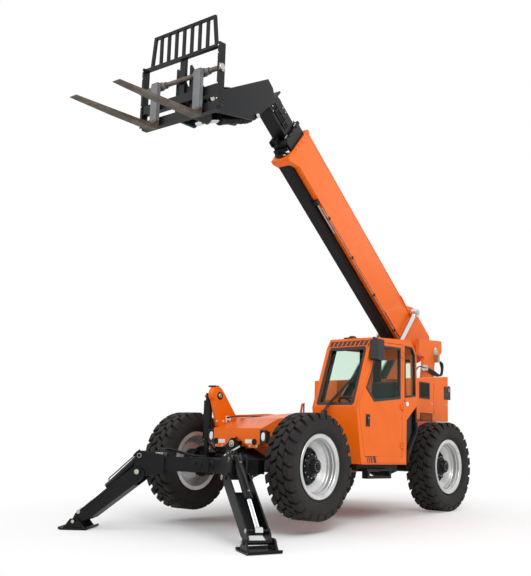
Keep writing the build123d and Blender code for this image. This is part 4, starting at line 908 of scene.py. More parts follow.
def build_cab():
    """Gaskets, door fittings, brow, wiper, mirror, sill, guard and glass."""
    rubber = Shape()
    # the windscreen's opening
    low, high, left, right = 1.492, 2.268, 1.073, 0.487
    for start, end in (((left, low), (left, high)), ((right, low), (right, high)),
                       ((right, low), (left, low)), ((right, high), (left, high))):
        screen_bar(rubber, start, end, 0.034, -0.006, 0.006)
    screen_bar(rubber, (right, 2.288), (left, 2.288), 0.024, 0.0, 0.004)
    rubber.frame(REAR_WINDOW, inset(REAR_WINDOW, 0.024), CAB_LEFT - 0.03, CAB_LEFT + 0.005)
    rubber.piece("cab_gaskets", "chassis", "plastic")
    seal = Shape()
    seal.frame(inset(DOOR_WINDOW, -0.006), inset(DOOR_WINDOW, 0.026), CAB_LEFT - 0.034, CAB_LEFT + 0.005)
    seal.frame([(-1.128, 1.362), (-1.222, 1.362), (-1.222, 1.196), (-1.128, 1.196)],
               [(-1.140, 1.350), (-1.210, 1.350), (-1.210, 1.208), (-1.140, 1.208)], CAB_LEFT - 0.002,
               CAB_LEFT + 0.007)
    seal.block((-1.212, CAB_LEFT - 0.001, 1.206), (-1.138, CAB_LEFT + 0.003, 1.352), 0.001)
    seal.block((-1.196, CAB_LEFT + 0.002, 1.225), (-1.156, CAB_LEFT + 0.016, 1.333), 0.006)
    seal.piece("door_seal_and_handle", "cab_door", "plastic")
    lock = Shape()
    lock.rod((-1.176, CAB_LEFT + 0.015, 1.312), (-1.176, CAB_LEFT + 0.019, 1.312), 0.009, 16, 0.001)
    for z in (0.95, 1.50, 2.25):
        for x in (-2.045, -2.025):
            for up in (-0.02, 0.02):
                lock.rod((x, CAB_LEFT + 0.011, z + up), (x, CAB_LEFT + 0.017, z + up), 0.006, 6, 0.001)
    lock.piece("door_lock_and_screws", "cab_door", "zinc")
    bars = Shape()
    for x, width in ((-1.150, 0.018), (-1.192, 0.024), (-1.242, 0.034), (-1.306, 0.060)):
        bars.prism([(x, 0.803), (x - width, 0.803), (x - width - 0.035, 0.706), (x - 0.035, 0.706)],
                   CAB_LEFT + 0.0002, CAB_LEFT + 0.0016, "y", 0.0)
    bars.piece("door_stripes", "cab_door", "stripe")
    plate = Shape()
    plate.prism([(-1.40, 0.803), (-2.005, 0.803), (-2.005, 0.712), (-1.43, 0.712)], CAB_LEFT + 0.0002,
                CAB_LEFT + 0.0012, "y", 0.0)
    plate.piece("door_sill_band", "cab_door", "orange")
    band = Shape()
    screen_bar(band, (0.45, 2.347), (1.11, 2.347), 0.070, 0.0, 0.002, 0.0)
    band.piece("brow_band", "chassis", "stripe")
    brow = Shape()
    for i in range(BROW_BARS):
        y = CAB_MID + (i - (BROW_BARS - 1) / 2) * BROW_PITCH
        screen_bar(brow, (y - 0.012, 2.315), (y + 0.012, 2.375), 0.016, 0.0, 0.006, 0.001)
    screen_bar(brow, (0.44, 2.302), (1.12, 2.302), 0.012, 0.0, 0.010)
    screen_bar(brow, (0.44, 2.39), (1.12, 2.39), 0.012, 0.0, 0.010)
    brow.piece("brow_bars", "chassis", "orange")
    dark = Shape()
    dark.block((-1.70, 0.50, 2.462), (-1.50, 0.68, 2.478), 0.006)
    dark.lathe([(0, 0), (0.055, 0), (0.055, 0.01), (0.05, 0.022), (0.03, 0.03), (0, 0.032)],
               (-1.60, 0.59, 2.476), (0, 0, 1), 28)
    dark.piece("brow_mesh_and_roof_cap", "chassis", "plastic")
    wiper = Shape()
    wiper.block((-0.885, 0.60, 1.31), (-0.845, 0.68, 1.40), 0.01)
    wiper.pipe([on_screen(0.63, 1.36, 0.03), on_screen(0.70, 1.49, 0.035), on_screen(0.83, 1.64, 0.03),
                on_screen(1.00, 1.86, 0.022)], 0.009, 8)
    wiper.pipe([on_screen(0.655, 1.35, 0.03), on_screen(0.725, 1.48, 0.035), on_screen(0.855, 1.63, 0.03),
                on_screen(1.01, 1.85, 0.022)], 0.006, 8)
    screen_bar(wiper, (0.71, 1.50), (1.055, 1.915), 0.016, 0.008, 0.022)
    wiper.lathe([(0, 0), (0.032, 0), (0.034, 0.004), (0.03, 0.03), (0, 0.034)], (-0.86, 0.64, 1.37),
                (1, 0, 0.3), 24)
    wiper.piece("wiper", "chassis", "plastic")
    dress("mirror", "plastic", 0.02)
    face = Shape()
    face.block((-1.318, CAB_LEFT + 0.045, 2.12), (-1.3125, CAB_LEFT + 0.155, 2.36), 0.002)
    face.piece("mirror_glass", "chassis", "mirror")
    arm = Shape()
    arm.pipe([(-1.29, CAB_LEFT + 0.01, 2.40), (-1.29, CAB_LEFT + 0.06, 2.415),
              (-1.25, CAB_LEFT + 0.095, 2.40), (-1.24, CAB_LEFT + 0.10, 2.36)], 0.010, 8)
    arm.piece("mirror_arm", "chassis", "plastic")
    lamp = Shape()
    lamp.lathe([(0, 0), (0.034, 0), (0.034, 0.008), (0.028, 0.014), (0, 0.016)], (-2.20, CAB_LEFT, 1.55),
               (0, 1, 0), 28)
    lamp.piece("side_marker", "chassis", "lens")
    red = Shape()
    red.lathe([(0, 0), (0.016, 0), (0.016, 0.008), (0, 0.010)], (-2.13, CAB_LEFT, 1.60), (0, 1, 0), 20)
    red.piece("side_reflector", "chassis", "red_lens")
    rim = Shape()
    rim.frame([(-1.03, 0.69), (-2.18, 0.69), (-2.18, 0.712), (-1.027, 0.712)],
              [(-1.04, 0.694), (-2.17, 0.694), (-2.17, 0.706), (-1.04, 0.706)], CAB_LEFT, CAB_LEFT + 0.006)
    rim.block((-1.02, 0.43, 0.70), (-0.995, 1.13, 0.72), 0.004)
    rim.piece("cab_sill", "chassis", "orange")
    guard = Shape()
    guard.prism([(-2.19, 0.76), (-2.19, 0.86), (-2.44, 1.18), (-2.44, 1.53), (-2.482, 1.53), (-2.482, 1.14),
                 (-2.24, 0.82), (-2.24, 0.76)], 0.46, 1.146, "y", 0.006)
    guard.prism([(-2.20, 0.72), (-2.20, 0.84), (-2.455, 1.17), (-2.455, 1.30), (-2.49, 1.30), (-2.49, 1.15),
                 (-2.25, 0.80), (-2.25, 0.72)], 1.143, 1.158, "y", 0.004)
    guard.piece("cab_rear_guard", "chassis", "black")
    tread = Shape()
    for x in range(12):
        tread.block((-1.775 + x * 0.044, 1.045, 0.529), (-1.757 + x * 0.044, 1.135, 0.536), 0.002)
    tread.piece("step_tread", "chassis", "black")
    dress("door_glass", "glass", 0)
    dress("cab_glass", "glass", 0)


CLOTH_STEPS = 20
CLOTH_CAP = 0.014


def cushion(name, outline, half):
    """A seat cushion: a rounded pad, filled by a short cloth run, then set in its place."""
    sizes = bpy.context.scene.telehandler_sizes
    pad = Shape()
    pad.prism(outline, CAB_MID - half, CAB_MID + half, "y", 0.03, 3)
    mesh = bpy.data.meshes.new(name)
    pad.mesh.to_mesh(mesh)
    pad.mesh.free()
    held = bpy.data.objects.new(name, mesh)
    bpy.context.scene.collection.objects.link(held)
    sized = held.modifiers.new("size", "REMESH")
    sized.mode = "VOXEL"
    sized.voxel_size = sizes.seat_voxel
    mesh = shown_mesh(held)
    held.modifiers.clear()
    held.data = mesh
    before = [v.co.copy() for v in mesh.vertices]
    cloth = held.modifiers.new("fill", "CLOTH")
    cloth.settings.use_pressure = True
    cloth.settings.uniform_pressure_force = sizes.seat_pressure
    cloth.settings.effector_weights.gravity = 0.0
    cloth.settings.tension_stiffness = 40
    cloth.point_cache.frame_end = CLOTH_STEPS
    scene = bpy.context.scene
    for step in range(1, CLOTH_STEPS + 1):
        scene.frame_set(step)
    filled = shown_mesh(held)
    for vertex, old in zip(filled.vertices, before):
        move = vertex.co - old
        if move.length > CLOTH_CAP:
            vertex.co = old + move.normalized() * CLOTH_CAP
    scene.frame_set(1)
    held.modifiers.clear()
    held.data = filled
    finer = held.modifiers.new("finer", "SUBSURF")
    finer.levels = finer.render_levels = 1
    mesh = shown_mesh(held)
    bpy.data.objects.remove(held)
    made = settle(mesh, name, "chassis", "cloth", STANCE)
    return made


def build_seat():
    """Two cushions on a moulded base."""
    cushion("seat_cushion", [(-1.63, 1.20), (-2.02, 1.18), (-2.02, 1.285), (-1.63, 1.305)], 0.235)
    cushion("seat_back", [(-2.035, 1.29), (-2.10, 1.27), (-2.235, 1.86), (-2.150, 1.90)], 0.225)
    base = Shape()
    base.block((-2.03, 0.56, 0.735), (-1.69, 1.0, 0.80), 0.02)
    base.prism([(-1.98, 0.80), (-1.72, 0.80), (-1.68, 1.10), (-2.04, 1.10)], CAB_MID - 0.17, CAB_MID + 0.17,
               "y", 0.02)
    base.block((-2.06, 0.55, 1.10), (-1.64, 1.01, 1.18), 0.02)
    base.prism([(-2.06, 1.16), (-2.14, 1.16), (-2.262, 1.85), (-2.232, 1.865)], CAB_MID - 0.19,
               CAB_MID + 0.19, "y", 0.012)
    for side in (1, -1):
        base.block((-2.03, CAB_MID + side * 0.265 - 0.025, 1.40),
                   (-1.74, CAB_MID + side * 0.265 + 0.025, 1.45), 0.014)
        base.block((-2.10, CAB_MID + side * 0.265 - 0.015, 1.15),
                   (-2.04, CAB_MID + side * 0.265 + 0.015, 1.42), 0.008)
    base.piece("seat_base", "chassis", "plastic", replaces=["seat"])


def build_controls():
    """Steering column, panel, levers and lining."""
    dress("steering_column", "plastic", 0.008)
    panel = Shape()
    panel.block((-1.30, 0.60, 1.40), (-1.12, 0.96, 1.47), 0.02)
    panel.pipe([(-1.45, 0.50, 0.75), (-1.47, 0.50, 1.1), (-1.44, 0.50, 1.36)], 0.012, 10)
    panel.lathe([(0, -0.03), (0.022, -0.02), (0.026, 0.0), (0.020, 0.022), (0, 0.03)], (-1.44, 0.50, 1.38),
                (0, 0, 1), 20)
    panel.block((-1.72, 0.455, 0.74), (-1.30, 0.545, 1.02), 0.02)
    for y in (0.70, 0.86):
        panel.block((-1.22, y - 0.04, 0.76), (-1.20, y + 0.04, 0.88), 0.006)
    panel.piece("cab_panel_and_levers", "chassis", "plastic")
    lining = Shape()
    lining.block((-2.14, 0.46, 0.732), (-1.07, 1.10, 0.742), 0.002)
    lining.block((-2.36, 0.45, 2.385), (-1.36, 1.11, 2.425), 0.004)
    lining.block((-2.42, 0.46, 1.10), (-2.35, 1.10, 1.62), 0.01)
    lining.block((-2.44, 0.44, 1.62), (-2.38, 0.56, 2.38), 0.01)
    lining.block((-2.09, 0.445, 1.62), (-2.00, 0.475, 2.38), 0.01)
    lining.block((-2.36, 1.0, 0.95), (-2.16, 1.115, 1.60), 0.01)
    lining.block((-1.34, 0.52, 2.26), (-1.22, 1.04, 2.30), 0.008)
    for y in (0.455, 1.055):
        lining.prism([(-1.00, 1.47), (-1.04, 1.47), (-1.345, 2.28), (-1.30, 2.28)], y, y + 0.05, "y", 0.006)
    lining.piece("cab_lining", "chassis", "lining")


# Front of the frame
def plate_on(shape, axis, at, first, second, thick=0.0015, bevel=0.0):
    """A thin plate against a plane, between two corners of its face."""
    (a1, b1), (a2, b2) = first, second
    outline = [(a1, b1), (a2, b1), (a2, b2), (a1, b2)]
    shape.prism(outline, at, at + thick, axis, bevel)


def oval(middle, half_wide, half_high, steps=28):
    """Outline of an ellipse."""
    return [(middle[0] + half_wide * cos(tau * i / steps), middle[1] + half_high * sin(tau * i / steps))
            for i in range(steps)]


def build_frame_front():
    """Blank labels, tie-down rims, lamps, the horn and its cylinder, bolts and hoses."""
    labels = Shape()
    plate_on(labels, "x", 0.2002, (-0.324, 0.919), (-0.201, 0.969))
    plate_on(labels, "x", 0.2002, (0.158, 0.924), (0.275, 0.974))
    plate_on(labels, "y", -0.3998, (-0.117, 1.194), (-0.018, 1.284))
    labels.piece("blank_labels", "chassis", "white")
    dark_marks = Shape()
    plate_on(dark_marks, "y", -0.3980, (-0.095, 1.208), (-0.040, 1.226), 0.0006)
    plate_on(dark_marks, "y", -0.3980, (-0.095, 1.252), (-0.040, 1.270), 0.0006)
    dark_marks.piece("label_bands", "chassis", "stripe")
    red = Shape()
    plate_on(red, "x", 0.2002, (0.171, 0.860), (0.251, 0.878))
    red.piece("red_strip", "chassis", "red_lens")
    rings = Shape()
    for y, z in ((-0.36, 0.945), (0.315, 0.945)):
        rings.lathe([(0.026, 0), (0.040, 0), (0.040, 0.006), (0.036, 0.010), (0.026, 0.010)], (0.200, y, z),
                    (1, 0, 0), 32)
        rings.lathe([(0, 0), (0.026, 0), (0.026, 0.002), (0, 0.002)], (0.200, y, z), (1, 0, 0), 32)
    rings.piece("tie_down_rims", "chassis", "black")
    boxes = Shape()
    for side in (1, -1):
        boxes.frame([(side * y, z) for y, z in ((0.408, 0.925), (0.508, 0.925), (0.508, 1.098),
                                                (0.408, 1.098))],
                    [(side * y, z) for y, z in ((0.420, 0.937), (0.496, 0.937), (0.496, 1.086),
                                                (0.420, 1.086))],
                    0.170, 0.206, "x", 0.003)
        boxes.block((0.168, side * 0.458 - 0.05, 0.925), (0.178, side * 0.458 + 0.05, 1.098), 0.002)
    boxes.piece("lamp_boxes", "chassis", "plastic")
    dress("headlamps", "plastic", 0.006)
    lenses = Shape()
    for side in (1, -1):
        for out, wide, high in ((0.198, 0.035, 0.056), (0.204, 0.028, 0.048)):
            lenses.prism(oval((side * 0.458, 1.012), wide, high), 0.185, out, "x", 0.003)
    lenses.piece("headlamp_lenses", "chassis", "lens")
    horn = Shape()
    horn.block((0.105, -0.545, 1.664), (0.205, -0.425, 1.688), 0.008)
    horn.lathe([(0.034, 0), (0.052, 0), (0.052, 0.006), (0.046, 0.012), (0.034, 0.012)],
               (0.117, -0.400, 1.55), (0, 1, 0), 36)
    horn.piece("horn_cap_and_ring", "chassis", "black")
    bright = Shape()
    bright.lathe([(0, 0), (0.034, 0), (0.034, 0.009), (0.028, 0.014), (0, 0.014)], (0.117, -0.400, 1.55),
                 (0, 1, 0), 32)
    bright.rod((0.165, -0.507, 1.543), (0.165, -0.498, 1.543), 0.021, 20, 0.002)
    bright.rod((0.165, -0.507, 0.832), (0.165, -0.498, 0.832), 0.021, 20, 0.002)
    bright.piece("levelling_pins", "chassis", "zinc")
    cylinder = Shape()
    gland(cylinder, (0.165, -0.568, 0.85), (0.165, -0.568, 1.50), 0.44, 0.048, 0.026)
    for z in (0.93, 1.12):
        cylinder.band(0.0485, 0.054, 0.01, (0.165, -0.568, z), (0, 0, 1))
    cylinder.piece("levelling_bands", "chassis", "black")
    bolts = []
    for y in (-0.36, -0.24, 0.24, 0.36):
        for z in (0.885, 1.205):
            bolts.append(((0.2002, y, z), (0, pi / 2, 0)))
    for x in (-0.1, -0.55, -1.0, -1.5):
        for side in (1, -1):
            bolts.append(((x, side * 0.3995, 0.80), (-side * pi / 2, 0, 0)))
    head = Shape()
    head.rod((0, 0, 0), (0, 0, 0.009), 0.013, 6, 0.001)
    head.rod((0, 0, -0.0002), (0, 0, 0.002), 0.017, 20, 0.0005)
    repeat("places", head, "frame_bolts", "chassis", "zinc", places=bolts)
    lines = Shape()
    for i in range(3):
        y = -0.31 + i * 0.028
        lines.pipe([(0.06, y, 1.262), (-0.05, y, 1.285), (-0.6, y, 1.300), (-1.5, y, 1.335)], 0.007, 8)
    for i in range(3):
        lines.pipe([(0.150, -0.53 + i * 0.012, 0.90), (0.10, -0.50, 0.84 - i * 0.012), (0.02, -0.46, 0.80),
                    (-0.2, -0.43, 0.78 - i * 0.02)], 0.008, 8)
    lines.piece("frame_hoses", "chassis", "hose")


# Outriggers
CYLINDER_BASE = (-0.128, 0.160)
CYLINDER_EYE = (0.930, 0.065)


def build_outriggers():
    """Outrigger frame, legs, cylinders, pins, feet and hoses."""
    dress("outrigger_frame", "black", 0.008)
    mark = Shape()
    mark.lathe([(0.030, 0), (0.045, 0), (0.045, 0.004), (0.040, 0.006), (0.030, 0.006)],
               (0.3102, 0.018, 0.912), (1, 0, 0), 32)
    mark.lathe([(0, 0), (0.020, 0), (0.020, 0.004), (0, 0.005)], (0.3102, 0.018, 0.912), (1, 0, 0), 24)
    mark.piece("front_pin_end", "chassis", "zinc")
    # white strip across the front of the outrigger frame: a painted highlight on the edge of the turned
    # pivot block
    bar = Shape()
    bar.prism([(-0.109, 0.748), (-0.105, 0.768), (0.162, 0.892), (0.166, 0.872)], 0.3102, 0.314, "x", 0.0)
    bar.piece("front_white_bar", "chassis", "white")
    boss = Shape()
    for side in (1, -1):
        out = Vector((cos(SPLAY), -side * sin(SPLAY), 0))
        along = Vector((sin(SPLAY), side * cos(SPLAY), 0))
        middle = Vector((LEG_PIVOT[0], side * LEG_PIVOT[1], 0.640)) - along * 0.763 + out * 0.0755
        boss.lathe([(0.030, 0), (0.064, 0), (0.064, 0.010), (0.056, 0.016), (0.030, 0.016)], middle, out,
                   40)
        for i in range(6):
            around = Vector((0, 0, 1)) * cos(tau * i / 6) + along * sin(tau * i / 6)
            boss.rod(middle + around * 0.047 + out * 0.015, middle + around * 0.047 + out * 0.021, 0.006, 6,
                     0.001)
    boss.piece("arm_bosses", "chassis", "black")
    for side, word in ((1, "left"), (-1, "right")):
        place = leg_frame(side)
        dress(f"outrigger_leg_{word}", "black", 0.006)
        dress(f"outrigger_foot_{word}", "black", 0.006)
        dress(f"outrigger_barrel_{word}", "black", 0.004)
        dress(f"outrigger_rod_{word}", "chrome", 0.003)
        start = Vector((*CYLINDER_BASE, 0))
        end = Vector((*CYLINDER_EYE, 0))
        way = (end - start).normalized()
        up = Vector((-way.y, way.x, 0))
        rings = Shape()
        gland(rings, start, end, 0.612, 0.048, 0.030)
        for at in (0.12, 0.33):
            rings.band(0.0523, 0.0542, 0.01, start + way * at, way)
        rings.piece(f"outrigger_gland_{word}", f"leg_barrel_{word}", "black", place)
        ports = Shape()
        for at in (0.10, 0.54):
            ports.rod(start + way * at + up * 0.045, start + way * at + up * 0.072, 0.014, 6, 0.001)
        ports.piece(f"outrigger_ports_{word}", f"leg_barrel_{word}", "zinc", place)
        lines = Shape()
        first = start + way * 0.10 + up * 0.068
        second = start + way * 0.54 + up * 0.068
        lines.pipe([second, second + up * 0.012 - way * 0.02, second - way * 0.12 + up * 0.004,
                    first + way * 0.1 + up * 0.006 + Vector((0, 0, 0.016)),
                    first + Vector((0, 0, 0.024)) - way * 0.06,
                    start + up * 0.07 - way * 0.02 + Vector((0, 0, 0.024))], 0.008, 8)
        lines.pipe([first, first + up * 0.012 - way * 0.02,
                    start + up * 0.075 + Vector((0, 0, -0.02)),
                    start + up * 0.07 - way * 0.03 + Vector((0, 0, -0.02))], 0.008, 8)
        lines.piece(f"outrigger_lines_{word}", f"leg_barrel_{word}", "hose", place)
        pins, shafts = Shape(), Shape()
        for across in (1, -1):
            shafts.rod((0.93, 0.065, across * 0.047), (0.93, 0.065, across * 0.119), 0.020, 20, 0.001)
            pins.rod((0.93, 0.065, across * 0.1402), (0.93, 0.065, across * 0.148), 0.026, 24, 0.002)
        pins.piece(f"outrigger_eye_pins_{word}", f"leg_{word}", "zinc", place)
        shafts.piece(f"outrigger_eye_shafts_{word}", f"leg_{word}", "black", place)
        caps = Shape()
        for across in (1, -1):
            caps.rod((0, 0, across * 0.1855), (0, 0, across * 0.193), 0.032, 24, 0.002)
        caps.piece(f"outrigger_pivot_pins_{word}", f"leg_{word}", "zinc", place)
        base_pins = Shape()
        for across in (1, -1):
            base_pins.rod((*CYLINDER_BASE, across * 0.1085), (*CYLINDER_BASE, across * 0.117), 0.030, 24,
                          0.002)
        base_pins.piece(f"outrigger_base_pins_{word}", "chassis", "zinc", place)
        ends = Shape()
        for across in (1, -1):
            far = 0.2045 if across == side else 0.1975
            ends.rod((1.037, 0, across * far), (1.037, 0, across * (far + 0.006)), 0.022, 24, 0.002)
        ends.piece(f"outrigger_foot_pins_{word}", f"foot_{word}", "zinc", place)
    block = Shape()
    hoses = Shape()
    for side in (1, -1):
        block.block((0.93, side * 0.60 - 0.07, 0.727), (1.01, side * 0.60 + 0.07, 0.775), 0.006)
        for i in range(4):
            y = side * (0.545 + i * 0.036)
            hoses.pipe([(0.97, y, 0.77), (0.975, y, 0.815), (0.93, y - side * 0.01, 0.835),
                        (0.80, y - side * 0.10, 0.80), (0.66, y - side * 0.22, 0.745),
                        (0.50, y - side * 0.30, 0.74)], 0.009, 8)
    block.piece("hose_blocks", "chassis", "zinc")
    hoses.piece("outrigger_hoses", "chassis", "hose")


# Fork carriage
def build_carriage():
    """Fork carriage, forks and the tilt cylinder."""
    dress("carriage", "black", 0.006)
    dress("fork_shaft", "forged", 0.003)
    dress("forks", "forged", 0.005)
    dress("tilt_barrel", "black", 0.004)
    dress("tilt_rod", "chrome", 0.003)
    ends = Shape()
    for side in (1, -1):
        ends.rod((1.525, side * 0.7302, 5.515), (1.525, side * 0.744, 5.515), 0.044, 28, 0.003)
        ends.block((1.470, side * 0.716 - 0.004, 5.470), (1.560, side * 0.716 + 0.004, 5.560), 0.003)
    ends.piece("shaft_ends", "fork_carriage", "zinc")
    shanks = Shape()
    for side in (1, -1):
        y = side * 0.39
        shanks.block((1.6172, y - 0.061, 5.03), (1.6195, y + 0.061, 5.535), 0.0008)
        shanks.block((1.566, y + 0.0627, 5.03), (1.612, y + 0.0645, 5.535), 0.0006)
        for off in (0.10, -0.10):
            shanks.band(0.0325, 0.046, 0.03, (1.525, y + off, 5.515), (0, 1, 0), bevel=0.002)
    shanks.piece("fork_shank_faces", "fork_carriage", "grey")
    lines = Shape()
    start, end = Vector((0.215, 0, 5.40)), Vector((1.13, 0, 5.085))
    way = (end - start).normalized()
    up = Vector((-way.z, 0, way.x))
    rings = Shape()
    gland(rings, start, end, 0.600, 0.065, 0.036)
    for at in (0.14, 0.36):
        rings.band(0.0653, 0.070, 0.012, start + way * at, way, 32)
    rings.piece("tilt_gland", "tilt_barrel", "black")
    for i, at in enumerate((0.10, 0.53)):
        place = start + way * at + up * 0.064
        lines.pipe([place, place + up * 0.02, place + up * 0.022 - way * 0.06,
                    start + up * 0.085 + way * 0.02 + Vector((0, 0.02 - 0.04 * i, 0))], 0.009, 8)
    lines.piece("tilt_lines", "tilt_barrel", "hose")
    pins = Shape()
    for side in (1, -1):
        pins.rod((1.140, side * 0.2055, 5.35), (1.140, side * 0.2155, 5.35), 0.040, 28, 0.003)
        pins.rod((0.215, side * 0.2055, 5.40), (0.215, side * 0.2145, 5.40), 0.034, 28, 0.003)
    pins.piece("head_pins", "boom_inner", "zinc")
    eye = Shape()
    for side in (1, -1):
        eye.rod((1.130, side * 0.057, 5.085), (1.130, side * 0.072, 5.085), 0.036, 28, 0.003)
    eye.piece("tilt_eye_pins", "fork_carriage", "zinc")
    spots = []
    for side in (1, -1):
        for z in (5.10, 5.30, 5.70, 5.80):
            spots.append(((1.5602, side * 0.695, z), (0, pi / 2, 0)))
    head = Shape()
    head.rod((0, 0, 0), (0, 0, 0.008), 0.010, 6, 0.001)
    repeat("places", head, "carriage_bolts", "fork_carriage", "zinc", places=spots)
    hoses = Shape()
    for i in range(3):
        y = 0.10 + i * 0.03
        hoses.pipe([(0.62, y, 5.66), (0.86, y + 0.01, 5.62), (1.02, y, 5.52), (1.03, y, 5.42)], 0.009, 8)
    hoses.piece("head_hoses", "boom_inner", "hose")


# Rear boxes, tower and engine
def build_rear():
    """Vents and louvre, tail lamps, tower hoses, and the engine bay."""
    # y of the left box's outer face
    face = 0.850
    vent = Shape()
    vent.frame([(-3.06, 1.69), (-3.37, 1.69), (-3.37, 1.945), (-3.06, 1.945)],
               [(-3.082, 1.712), (-3.348, 1.712), (-3.348, 1.923), (-3.082, 1.923)], face, face + 0.008,
               "y", 0.001)
    vent.prism([(-3.07, 1.70), (-3.36, 1.70), (-3.36, 1.935), (-3.07, 1.935)], face + 0.0002, face + 0.002,
               "y", 0.0)
    vent.frame([(-3.09, 1.34), (-3.45, 1.34), (-3.45, 1.47), (-3.09, 1.47)],
               [(-3.105, 1.354), (-3.435, 1.354), (-3.435, 1.456), (-3.105, 1.456)], face, face + 0.010,
               "y", 0.001)
    vent.prism([(-3.10, 1.35), (-3.44, 1.35), (-3.44, 1.46), (-3.10, 1.46)], face + 0.0002, face + 0.002,
               "y", 0.0)
    vent.piece("vent_frames", "chassis", "mesh")
    wire = Shape()
    wire.block((-0.0022, 0, 0), (0.0022, 0.003, 0.212), 0.0004, segments=1)
    repeat("row", wire, "vent_uprights", "chassis", "black",
           STANCE @ Matrix.Translation((-3.345, face + 0.002, 1.711)), Count=20, Step=(0.0137, 0, 0))
    cross = Shape()
    cross.block((0, 0, -0.0022), (0.266, 0.0026, 0.0022), 0.0004, segments=1)
    repeat("row", cross, "vent_crosswires", "chassis", "black",
           STANCE @ Matrix.Translation((-3.348, face + 0.002, 1.722)), Count=15, Step=(0, 0, 0.0137))
    slat = Shape()
    slat.prism([(0.0, 0.0), (0.012, -0.006), (0.012, -0.009), (0.0, -0.003)], 0.0, 0.33, "x", 0.0)
    repeat("row", slat, "louvre_slats", "chassis", "orange",
           STANCE @ Matrix.Translation((-3.435, face, 1.369)), Count=7, Step=(0, 0, 0.0143))
    trim = Shape()
    for x in (-2.66, -3.50):
        trim.prism([(x, 1.40), (x - 0.006, 1.40), (x - 0.006, 1.93), (x, 1.93)], face, face + 0.0015, "y",
                   0.0)
    for x, z in ((-2.70, 1.72), (-2.70, 1.50), (-3.54, 1.90), (-3.54, 1.50)):
        trim.block((x - 0.02, face, z - 0.035), (x + 0.02, face + 0.006, z + 0.035), 0.002)
    trim.piece("box_hinges", "chassis", "orange")
    latch = Shape()
    for x in (-3.44, -3.90):
        latch.lathe([(0, 0), (0.020, 0), (0.020, 0.006), (0, 0.008)], (x, face, 1.62), (0, 1, 0), 24)
    latch.piece("box_latches", "chassis", "zinc")
    dress("tail_lamps", "plastic", 0.006)
    tail = Shape()
    for way in (1, -1):
        tail.block((-4.052, way * 0.76 - 0.086, 1.715), (-3.978, way * 0.76 + 0.086, 1.94), 0.01)
    tail.block((-4.05, 0.846, 1.712), (-3.84, 0.856, 1.92), 0.006)
    tail.piece("tail_lamp_guards", "chassis", "plastic")
    red = Shape()
    for way in (1, -1):
        red.block((-4.058, way * 0.78 - 0.045, 1.83), (-4.048, way * 0.78 + 0.045, 1.92), 0.004)
    red.block((-4.03, 0.8555, 1.84), (-3.96, 0.861, 1.90), 0.003)
    red.piece("tail_lenses", "chassis", "red_lens")
    amber = Shape()
    for way in (1, -1):
        amber.block((-4.058, way * 0.78 - 0.045, 1.735), (-4.048, way * 0.78 + 0.045, 1.815), 0.004)
    amber.piece("turn_lenses", "chassis", "amber_lens")
    loops = Shape()
    for i in range(4):
        y = 0.395 + i * 0.018
        loops.pipe([(-4.38, y, 2.48 - i * 0.03), (-4.55, y, 2.40), (-4.60 + i * 0.02, y, 2.22),
                    (-4.48, y, 2.13), (-4.20, y, 2.17 + i * 0.02), (-3.963, y, 2.255)], 0.011, 10)
    loops.pipe([(-3.96, 0.41, 2.25), (-3.80, 0.42, 2.28), (-3.66, 0.42, 2.16), (-3.62, 0.42, 2.02)], 0.011,
               10)
    loops.piece("tower_hoses", "chassis", "hose")
    clamps = Shape()
    clamps.block((-4.40, 0.379, 2.37), (-4.35, 0.472, 2.50), 0.004)
    clamps.block((-4.00, 0.379, 2.20), (-3.95, 0.472, 2.29), 0.004)
    clamps.piece("hose_clamps", "chassis", "zinc")
    pivot = Shape()
    for way in (1, -1):
        pivot.lathe([(0, 0), (0.075, 0), (0.075, 0.010), (0.062, 0.018), (0, 0.018)],
                    (-4.4, way * 0.3805, 2.55), (0, way, 0), 40)
        for i in range(6):
            pivot.rod((-4.4 + 0.05 * cos(tau * i / 6), way * 0.3985, 2.55 + 0.05 * sin(tau * i / 6)),
                      (-4.4 + 0.05 * cos(tau * i / 6), way * 0.404, 2.55 + 0.05 * sin(tau * i / 6)), 0.008,
                      6, 0.001)
    pivot.piece("boom_pivot_caps", "chassis", "zinc")
    welds = Shape()
    for way in (1, -1):
        welds.block((-4.20, way * 0.3798, 1.98), (-3.70, way * 0.3806 + way * 0.003, 1.988), 0.001)
    welds.piece("tower_welds", "chassis", "orange")
    build_engine_side()


